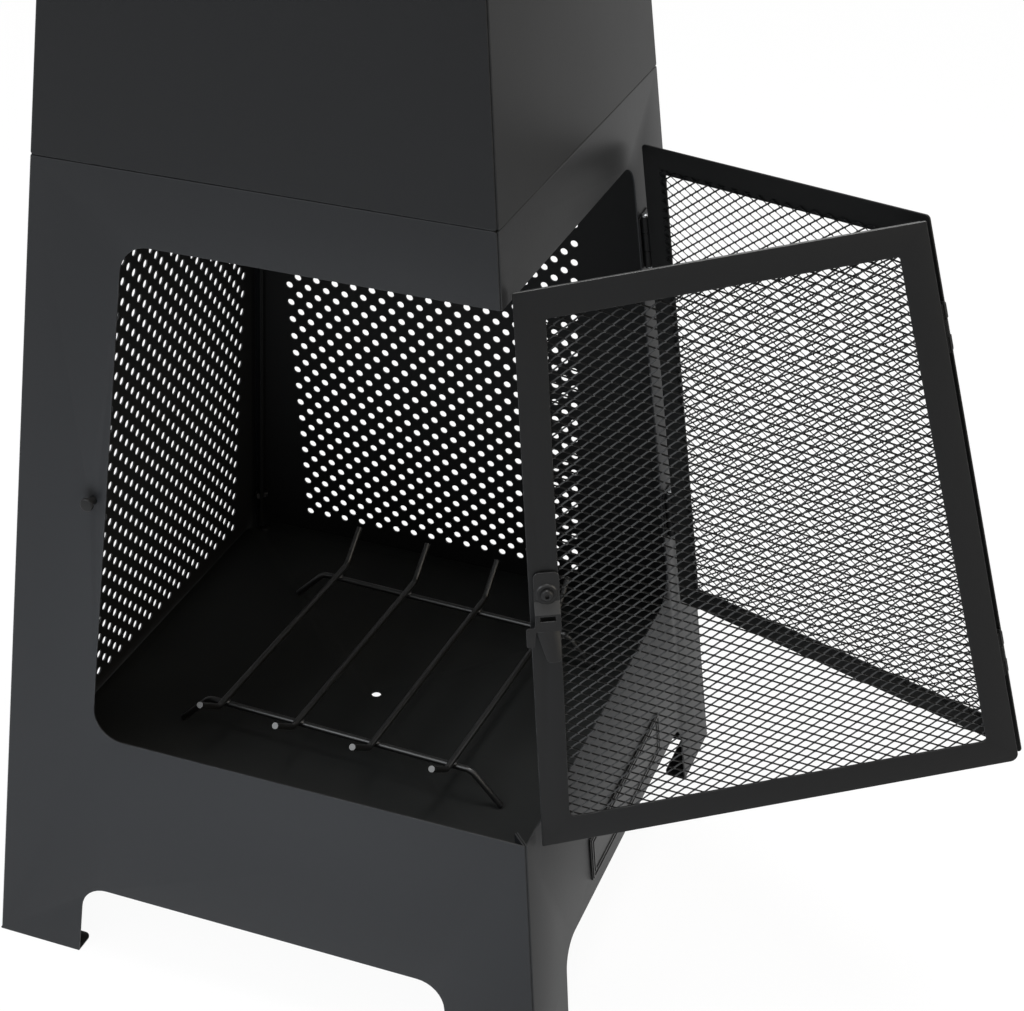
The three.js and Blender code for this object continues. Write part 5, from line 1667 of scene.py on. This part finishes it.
@dataclass
class Leaf:
    """One door leaf: a flat frame with expanded mesh behind its window."""

    name: str
    body: Body
    low: float
    high: float
    left: Callable[[float], float]
    right: Callable[[float], float]
    right_rail: float
    place: Matrix
    radii: Four
    net: ExpandedMesh
    window_radii: Four = (0.0015, 0.0015, 0.0015, 0.0015)
    lifts: Four = (0.0, 0.0, 0.0, 0.0)
    rail: float = 0.018
    proud: float = 0.0035
    sheet: float = 0.0015
    mesh_lap: float = 0.0033
    edge: float = 0.0005
    hem: float = 0.0012
    hem_depth: float = 0.0013
    hem_end_share: float = 0.012
    hem_drop: float = 0.0002
    # Least normal share of a top edge face given the painted highlight, and of a back face given painted
    # shade.
    turned_edge: float = 0.5
    # Least sideways tilt of a strand face that gets painted shade.
    falling_tilt: float = 0.1
    # Whether the frame gets the folded hem and a painted highlight on its top-facing edge faces.
    worn: bool = False

    def outline(self, inset: float = 0, right_inset: float = 0) -> list[Vector]:
        """The leaf's four corners, moved in by an inset; the right side has its own.

        Args:
            inset: Inset of the lower, upper and left sides.
            right_inset: Inset of the right side.

        Returns:
            The corners, counted round from the lower left.
        """
        bottom, top = self.low + inset, self.high - inset
        corners = [
            (self.left(bottom) + inset, bottom), (self.right(bottom) - right_inset, bottom),
            (self.right(top) - right_inset, top), (self.left(top) + inset, top),
        ]
        return [Vector((x, SIZES.slope(z) + lift)) for (x, z), lift in zip(corners, self.lifts)]

    def _hem(self) -> Solid:
        """The thin strip folded down behind the upper edge."""
        right, left = self.outline()[2:]
        ends = [left.lerp(right, self.hem_end_share), right.lerp(left, self.hem_end_share)]
        low, high = Vector((0, self.hem)), Vector((0, self.hem_drop))
        strip = [*(end - low for end in ends), *(end - high for end in reversed(ends))]
        back = self.proud - self.sheet
        return Solid.prism(strip, back - self.hem_depth, back + self.sheet / 2)

    def build(self, drills: Sequence[Solid] = ()) -> None:
        """Builds and hangs the frame and the mesh.

        Args:
            drills: What is cut from the frame, in the leaf's plane.
        """
        outer = rounded([(p.x, p.y, r) for p, r in zip(self.outline(), self.radii)])
        window = self.outline(self.rail, self.right_rail)
        inner = rounded([(p.x, p.y, r) for p, r in zip(window, self.window_radii)], 5)
        low, top = self.proud - self.sheet, self.outline()[3].y - self.hem
        sheet = Solid.prism(outer, low, self.proud)
        sheet = sheet.minus(Solid.prism(inner, low - self.rail, self.proud + self.rail), *drills)
        sheet = sheet.plus(self._hem()) if self.worn else sheet
        sheet = sheet.softened(self.edge, 3, least=40)
        faces = sheet.mesh.polygons
        highlit_top_faces = [f.index for f in faces if f.normal.y > self.turned_edge and f.center.y > top]
        behind = [f.index for f in faces if f.normal.z < -self.turned_edge]
        name = f"{self.name}_frame_sheet"
        frame_piece = finished(sheet.moved(self.place), name, self.body, DOOR_COAT)
        # The frame's faces that look behind it get the darker inside coat as painted shade.
        second_finish(frame_piece, INSIDE_SHADE_COAT, behind)
        # The top-facing edge faces get a painted highlight.
        if self.worn:
            second_finish(frame_piece, DOOR_EDGE_HIGHLIGHT, highlit_top_faces)
        net = self.net.panel(self.outline(self.rail - self.mesh_lap, self.right_rail - self.mesh_lap))
        normals = [f.normal for f in net.mesh.polygons]
        # Strand faces that tilt one way get painted shade.
        shaded_strands = [i for i, n in enumerate(normals) if n.x * (1 if n.z > 0 else -1) > self.falling_tilt]
        name, node = f"{self.name}_expanded_mesh", f"{self.name}_mesh"
        mesh_piece = finished(net.moved(self.place), name, self.body, MESH_COAT, node)
        second_finish(mesh_piece, MESH_SHADE, shaded_strands)


@dataclass(frozen=True)
class BarrelHinge:
    """Sizes of a hinge drawn about its line along Y, with the face's outside along Z."""

    radius: float
    pin: float
    height: float
    knuckle: float
    head_radius: float
    head_height: float
    plate: float = 0.001
    play: float = 0.00035
    sides: int = 36
    corner_radius: float = 0.0012
    chamfer: float = 0.0002
    head: Profile = ((1.0, 0.0), (1.0, 0.3), (0.9, 0.7), (0.6, 1.0), (0.0, 1.0))

    @property
    def ends(self) -> list[Span]:
        """Spans of the two outer knuckles."""
        tall, middle = self.height / 2, self.knuckle / 2
        return [(-tall, -middle - SIZES.clearance), (middle + SIZES.clearance, tall)]

    @property
    def centre(self) -> list[Span]:
        """Span of the middle knuckle."""
        return [(-self.knuckle / 2, self.knuckle / 2)]

    @staticmethod
    def _laid(solid: Solid) -> Solid:
        """Lays a solid made along Z along Y."""
        return solid.moved(Matrix.Rotation(-pi / 2, 4, "X"))

    def wing(self, x0: float, x1: float, z0: float, own: list[Span], gaps: list[Span]) -> Solid:
        """One plate with its knuckles.

        Args:
            x0: The plate's first edge.
            x1: The plate's last edge.
            z0: The plate's lower side.
            own: Spans of its knuckles.
            gaps: Spans of the other plate's knuckles.

        Returns:
            The wing about the hinge line.
        """
        tall, room = self.height / 2, self.radius + SIZES.clearance
        corners = [(x0, -tall), (x1, -tall), (x1, tall), (x0, tall)]
        outline = rounded([(x, y, self.corner_radius) for x, y in corners], 4)
        solid = Solid.prism(outline, z0, z0 + self.plate).minus(*[
            Solid.block((-room, low - SIZES.clearance, -tall), (room, high + SIZES.clearance, tall))
            for low, high in gaps
        ])
        if z0 > 0:
            reach = self.radius if x1 + x0 > 0 else -self.radius
            high = z0 + self.plate / 2
            solid = solid.plus(*[
                Solid.block((min(0, reach), start, 0), (max(0, reach), end, high)) for start, end in own
            ])
        solid = solid.plus(*[self._knuckle(low, high) for low, high in own])
        bore = self._laid(Solid.drill(self.pin + self.play, 24, self.height))
        return solid.minus(bore).softened(self.chamfer, 2, least=60)

    def _knuckle(self, low: float, high: float) -> Solid:
        """A knuckle's barrel between two places along the hinge line.

        Args:
            low: The first place.
            high: The second place.

        Returns:
            The barrel without its bore.
        """
        radius, cut = self.radius, self.chamfer
        profile = [
            (0, low), (radius - cut, low), (radius, low + cut), (radius, high - cut), (radius - cut, high),
            (0, high),
        ]
        return self._laid(Solid.turned(profile, self.sides))

    def pin_with_heads(self) -> Solid:
        """The pin with a low domed head at each end."""
        tall = self.height / 2 + SIZES.clearance
        head = [(self.head_radius * out, tall + self.head_height * up) for out, up in self.head]
        upper = [(self.pin, tall), *head]
        lower = [(radius, -y) for radius, y in reversed(upper)]
        return self._laid(Solid.turned([*lower, *upper], self.sides))


@dataclass
class Door:
    """The two leaves and the hinges on the post and in the corner."""

    side_lap_low: float = 0.0113
    side_lap_high: float = 0.0094
    side_lap_post: float = 0.0017
    side_corner_inset: float = 0.0027
    side_rail: float = 0.0195
    front_lap_low: float = 0.0091
    front_lap_high: float = 0.008
    front_lap_post: float = 0.0011
    front_corner_inset: float = 0.003
    front_rail: float = 0.018
    side_radii: Four = (0.0030, 0.001, 0.0030, 0.0026)
    side_lifts: Four = (0.0020, 0.0028, 0.0024, -0.0015)
    front_radii: Four = (0.001, 0.0048, 0.001, 0.001)
    front_window_radii: Four = (0.0035, 0.0015, 0.0015, 0.0015)
    side_net: ExpandedMesh = field(default_factory=lambda: ExpandedMesh(up=0.0064))
    front_net: ExpandedMesh = field(default_factory=ExpandedMesh)
    high_hinge_drop: float = 0.0577
    low_hinge_rise: float = 0.067
    post_hinge: BarrelHinge = BarrelHinge(0.003, 0.0014, 0.036, 0.013, 0.0025, 0.0016)
    corner_hinge: BarrelHinge = BarrelHinge(0.0008, 0.00035, 0.030, 0.010, 0.0007, 0.0004, play=0.0001)
    post_wing: float = 0.013
    post_corner: float = 0.0054
    corner_wing: float = 0.013

    def __post_init__(self) -> None:
        """Works out both leaves."""
        foot = SIZES.apron_height - self.front_lap_low
        self.side = Leaf(
            "side_leaf", Body.SIDE_LEAF,
            low=SIZES.apron_height - self.side_lap_low,
            high=SIZES.opening_top + self.side_lap_high,
            left=lambda z: -SIZES.half(z) + self.side_corner_inset,
            right=lambda z: SIZES.hinge_line(z) - SIZES.hinge_back + self.side_lap_post,
            right_rail=self.side_rail,
            place=SIZES.side_leaf,
            radii=self.side_radii,
            net=self.side_net,
            lifts=self.side_lifts,
        )
        self.front = Leaf(
            "front_leaf", Body.FRONT_LEAF,
            low=foot,
            high=SIZES.opening_top + self.front_lap_high,
            left=self.front_left,
            right=lambda z: SIZES.half(z) - self.front_corner_inset,
            right_rail=self.front_rail,
            place=SIZES.front_leaf(foot, self.front_left(foot)),
            radii=self.front_radii,
            net=self.front_net,
            window_radii=self.front_window_radii,
            worn=True,
        )

    def front_left(self, z: float) -> float:
        """Place of the front leaf's free edge along the front face."""
        return -SIZES.half(z) + SIZES.post_width - self.front_lap_post

    def build(self, latch: "Latch") -> None:
        """Builds and hangs the leaves and hinges.

        Args:
            latch: The latch, whose bolt goes through the front leaf.
        """
        self.side.build()
        self.front.build([latch.drill(self)])
        upper, lower = SIZES.opening_top - self.high_hinge_drop, SIZES.apron_height + self.low_hinge_rise
        for level, z in (("upper", upper), ("lower", lower)):
            self._post_hinge(level, z)
            self._corner_hinge(level, z)

    @staticmethod
    def _at(face: Matrix, x: float, z: float, out: float, turn: float) -> Matrix:
        """A place in a face's plane, turned in that plane."""
        return face @ Matrix.Translation((x, SIZES.slope(z), out)) @ Matrix.Rotation(turn, 4, "Z")

    def _post_hinge(self, level: str, z: float) -> None:
        """Builds one hinge between the rear post and the side leaf.

        Args:
            level: The hinge's place in its name.
            z: Height of its middle.
        """
        hinge = self.post_hinge
        lean = atan((SIZES.taper + SIZES.hinge_lean_share) * cos(SIZES.lean))
        along = SIZES.hinge_line(z)
        fixed_at = self._at(SIZES.face(Side.RIGHT), along, z, SIZES.hinge_proud, lean)
        moving_at = self._at(SIZES.side_leaf, along, z, SIZES.hinge_proud, lean)
        back = SIZES.clearance - SIZES.hinge_proud
        fixed = hinge.wing(-self.post_corner, self.post_wing, back, hinge.ends, hinge.centre)
        moving = hinge.wing(-self.post_wing, 0, self.side.proud + back, hinge.centre, hinge.ends)
        name = f"post_hinge_{level}"
        finished(fixed.moved(fixed_at), f"{name}_fixed_plate", Body.FIREPLACE, HINGE_COAT)
        finished(moving.moved(moving_at), f"{name}_moving_plate", Body.SIDE_LEAF, HINGE_COAT)
        finished(hinge.pin_with_heads().moved(fixed_at), f"{name}_pin_turned", Body.FIREPLACE, PLATED)

    def _corner_hinge(self, level: str, z: float) -> None:
        """Builds one hinge inside the corner between the leaves.

        Args:
            level: The hinge's place in its name.
            z: Height of its middle.
        """
        hinge = self.corner_hinge
        lean = atan(SIZES.taper * cos(SIZES.lean))
        depth = -SIZES.corner_line_inset * cos(SIZES.lean)
        corner = SIZES.half(z) - SIZES.corner_line_inset
        back = self.side.proud - self.side.sheet - SIZES.clearance - hinge.plate
        side_at = self._at(self.side.place, -corner, z, depth, -lean)
        front_at = self._at(self.front.place, corner, z, depth, lean)
        side_wing = hinge.wing(0, self.corner_wing, back - depth, hinge.ends, hinge.centre)
        front_wing = hinge.wing(-self.corner_wing, 0, back - depth, hinge.centre, hinge.ends)
        name = f"corner_hinge_{level}"
        finished(side_wing.moved(side_at), f"{name}_side_plate", Body.SIDE_LEAF, HINGE_COAT)
        finished(front_wing.moved(front_at), f"{name}_front_plate", Body.FRONT_LEAF, HINGE_COAT)
        finished(hinge.pin_with_heads().moved(side_at), f"{name}_pin_turned", Body.SIDE_LEAF, HINGE_COAT)


@dataclass
class Latch:
    """The lever on the front leaf, its pivot bolt, and the pin on the front post that it hooks."""

    inset: float = 0.0104
    drop: float = 0.1767
    width: float = 0.0155
    sheet: float = 0.0015
    edge: float = 0.00032
    hang: float = -6.3
    top: float = 0.0139
    top_radius: float = 0.0035
    step_drop: float = 0.0048
    step_length: float = 0.007
    step_out: float = 0.0040
    length: float = 0.0329
    hook_reach: float = 0.0132
    hook_top: float = 0.0203
    slot_width: float = 0.0092
    slot_height: float = 0.003
    boss_radius: float = 0.0068
    boss_height: float = 0.0012
    boss_edge: float = 0.0009
    handle_top: float = 0.0230
    handle_length: float = 0.0198
    handle_tip: Span = (-0.0015, 0.0072)
    handle_bend: float = 16.0
    handle_curl: float = 0.0150
    hole_radius: float = 0.00275
    shank_radius: float = 0.0024
    head_radius: float = 0.004
    head_height: float = 0.0026
    socket_radius: float = 0.0015
    socket_depth: float = 0.0014
    nut_edge: float = 0.0003
    button: Profile = ((0, 0), (1, 0), (1, 0.3), (0.96, 0.5), (0.86, 0.74), (0.7, 0.92), (0.55, 1), (0, 1))
    catch_shank: float = 0.0025
    catch_head: float = 0.0044
    catch_head_height: float = 0.003
    catch_out: float = 0.009
    catch_tail: float = 0.0041
    catch_edge: float = 0.0004
    catch_cap: Profile = ((1, 0.4), (0.95, 0.2), (0.82, 0.05), (0.7, 0), (0, 0))
    # Slopes and outward share of the step faces that get the painted highlight.
    step_slopes: Span = (0.35, 0.65)
    outward: float = 0.7

    def drill(self, door: Door) -> Solid:
        """The pivot bolt's hole, in the front leaf's plane."""
        return Solid.drill(self.hole_radius, 24).moved(self._pivot(door))

    def _pivot(self, door: Door) -> Matrix:
        """The pivot's place in the front leaf's plane."""
        z = SIZES.opening_top - self.drop
        return Matrix.Translation((door.front_left(z) + self.inset, SIZES.slope(z), 0))

    def build(self, door: Door, firebox: Firebox) -> None:
        """Builds and hangs the latch's pieces.

        Args:
            door: The door that carries the lever.
            firebox: The firebox that carries the catch pin.
        """
        at = door.front.place @ self._pivot(door) @ Matrix.Translation((0, 0, door.front.proud))
        lever = self._lever()
        (least, most), outward = self.step_slopes, self.outward
        normals = [f.normal for f in lever.mesh.polygons]
        # The step faces that tilt up and out get a painted highlight.
        step = [i for i, n in enumerate(normals) if least < n.y < most and n.z > outward]
        lever = lever.moved(at @ Matrix.Rotation(radians(self.hang), 4, "Z"))
        plate = finished(lever, "latch_lever_plate", Body.LATCH, BLACK_OXIDE)
        second_finish(plate, OXIDE_STEP_HIGHLIGHT, step)
        bolt = self._bolt(door).moved(at)
        finished(bolt, "latch_pivot_bolt", Body.FRONT_LEAF, BLACK_OXIDE, "latch_bolt")
        z = SIZES.opening_top - firebox.catch_drop
        along = -SIZES.half(z) + SIZES.post_width - firebox.catch_beside
        at = SIZES.face(Side.FRONT) @ Matrix.Translation((along, SIZES.slope(z), 0))
        finished(self._catch().moved(at), "catch_pin_turned", Body.FIREPLACE, BLACK_OXIDE)

    def _lever(self) -> Solid:
        """The pressed lever about its pivot, hanging, with its outside along Z."""
        edge, back, sheet = self.width / 2, SIZES.clearance, self.sheet
        front, step_end = back + self.step_out, -self.step_drop - self.step_length
        upper = Solid.prism(
            rounded([
                (-edge, -self.step_drop, 0), (edge, -self.step_drop, 0),
                (edge, self.top, self.top_radius), (-edge, self.top, self.top_radius),
            ], 12), back, back + sheet,
        )
        side = [
            Vector((-self.step_drop, back)), Vector((-self.step_drop, back + sheet)),
            Vector((step_end, front + sheet)), Vector((step_end, front)),
        ]
        across = Matrix(((0, 0, 1, 0), (1, 0, 0, 0), (0, 1, 0, 0), (0, 0, 0, 1)))
        step = Solid.prism(side, -edge, edge).moved(across)
        hook = Solid.prism(
            rounded([
                (-edge, step_end, 0), (-edge, -self.hook_top, sheet),
                (-self.hook_reach, -self.hook_top, sheet), (-self.hook_reach, -self.length, sheet),
                (-edge - sheet / 2, -self.length, sheet), (-edge + sheet / 4, -self.handle_top, 0),
                (edge, -self.handle_top, 0), (edge, step_end, 0),
            ]), front, front + sheet,
        )
        lay = Matrix.Translation((0, -self.handle_top + sheet / 2, front))
        handle = self._handle().moved(lay @ Matrix.Rotation(-radians(self.handle_bend), 4, "X"))
        slot_top, half = step_end - sheet, self.slot_width / 2
        slot = Solid.block((-half, slot_top - self.slot_height, 0), (half, slot_top, 2 * self.width))
        hole = Solid.drill(self.hole_radius, 24, 0.02)
        return upper.plus(self._boss(), step, hook, handle).minus(slot, hole).softened(self.edge, 3, least=40)

    def _boss(self) -> Solid:
        """The raised round round the pivot."""
        radius, back, cut = self.boss_radius, SIZES.clearance, self.boss_edge
        top = back + self.sheet + self.boss_height
        profile = [(0, back), (radius, back), (radius, top - cut), (radius - cut, top), (0, top)]
        return Solid.turned(profile, 40)

    def _handle(self) -> Solid:
        """The handle before it is bent out: a tongue that is curled across its width."""
        edge, sheet, curl, far = self.width / 2, self.sheet, self.handle_curl, 0.04
        left, right = self.handle_tip
        tongue = Solid.prism(
            rounded([
                (edge - sheet / 4, 0, 0), (-edge + sheet / 4, 0, 0),
                (left, -self.handle_length, 2 * sheet), (right, -self.handle_length, 2 * sheet),
            ], 12), sheet - curl, far,
        )
        reach = self.handle_length + sheet
        tube = Solid.drill(curl, 64, reach).minus(Solid.drill(curl - sheet, 64, reach + far))
        slant = Matrix.Rotation(atan2((left + right) / 2, self.handle_length), 4, "Z")
        sink = Matrix.Translation((0, 0, sheet - curl))
        return tongue.within(tube.moved(sink @ slant @ Matrix.Rotation(pi / 2, 4, "X")))

    def _nut(self, top: float) -> Solid:
        """A hex nut below a height."""
        return Solid.rod(self.head_radius, top - self.head_height, top, 6).softened(self.nut_edge, 2)

    def _bolt(self, door: Door) -> Solid:
        """The button head bolt with its socket, and the nut behind the leaf.

        Args:
            door: The door that it goes through.

        Returns:
            The bolt about its seat.
        """
        seat = SIZES.clearance + self.sheet + self.boss_height + SIZES.clearance
        top = seat + self.head_height
        nut_top = -door.front.sheet - SIZES.clearance
        radius, rise = self.head_radius, self.head_height
        head = Solid.turned([(radius * out, seat + rise * up) for out, up in self.button], 36)
        socket = Solid.rod(self.socket_radius, top - self.socket_depth, top + rise, 6)
        foot = nut_top - self.head_height - SIZES.clearance
        shank = Solid.rod(self.shank_radius, foot, seat + rise / 3, 28)
        return head.minus(socket).plus(self._nut(nut_top), shank)

    def _catch(self) -> Solid:
        """The mushroom pin with its nut inside the post, out of the face along Z."""
        inner = -SIZES.sheet - SIZES.clearance
        out, head, tall, cut = self.catch_out, self.catch_head, self.catch_head_height, self.catch_edge
        foot, face = inner - self.catch_tail, SIZES.clearance
        pin = Solid.turned([
            (0, foot), (self.shank_radius, foot), (self.shank_radius, face),
            (self.catch_shank, face), (self.catch_shank, out - tall),
            (head - cut, out - tall), (head, out - tall + cut),
            *[(head * share, out - tall * down) for share, down in self.catch_cap],
        ], 40)
        return pin.plus(self._nut(inner))


def main() -> None:
    """Builds the studio and every sub-assembly."""
    logging.basicConfig(level=logging.INFO, format="%(message)s")
    Studio().build()
    firebox, door, latch = Firebox(), Door(), Latch()
    firebox.build()
    NamePlate().build()
    Chimney(firebox).build()
    Fasteners(firebox).build()
    Grate().build()
    door.build(latch)
    latch.build(door, firebox)
    bpy.context.view_layer.update()


if __name__ == "__main__":
    main()
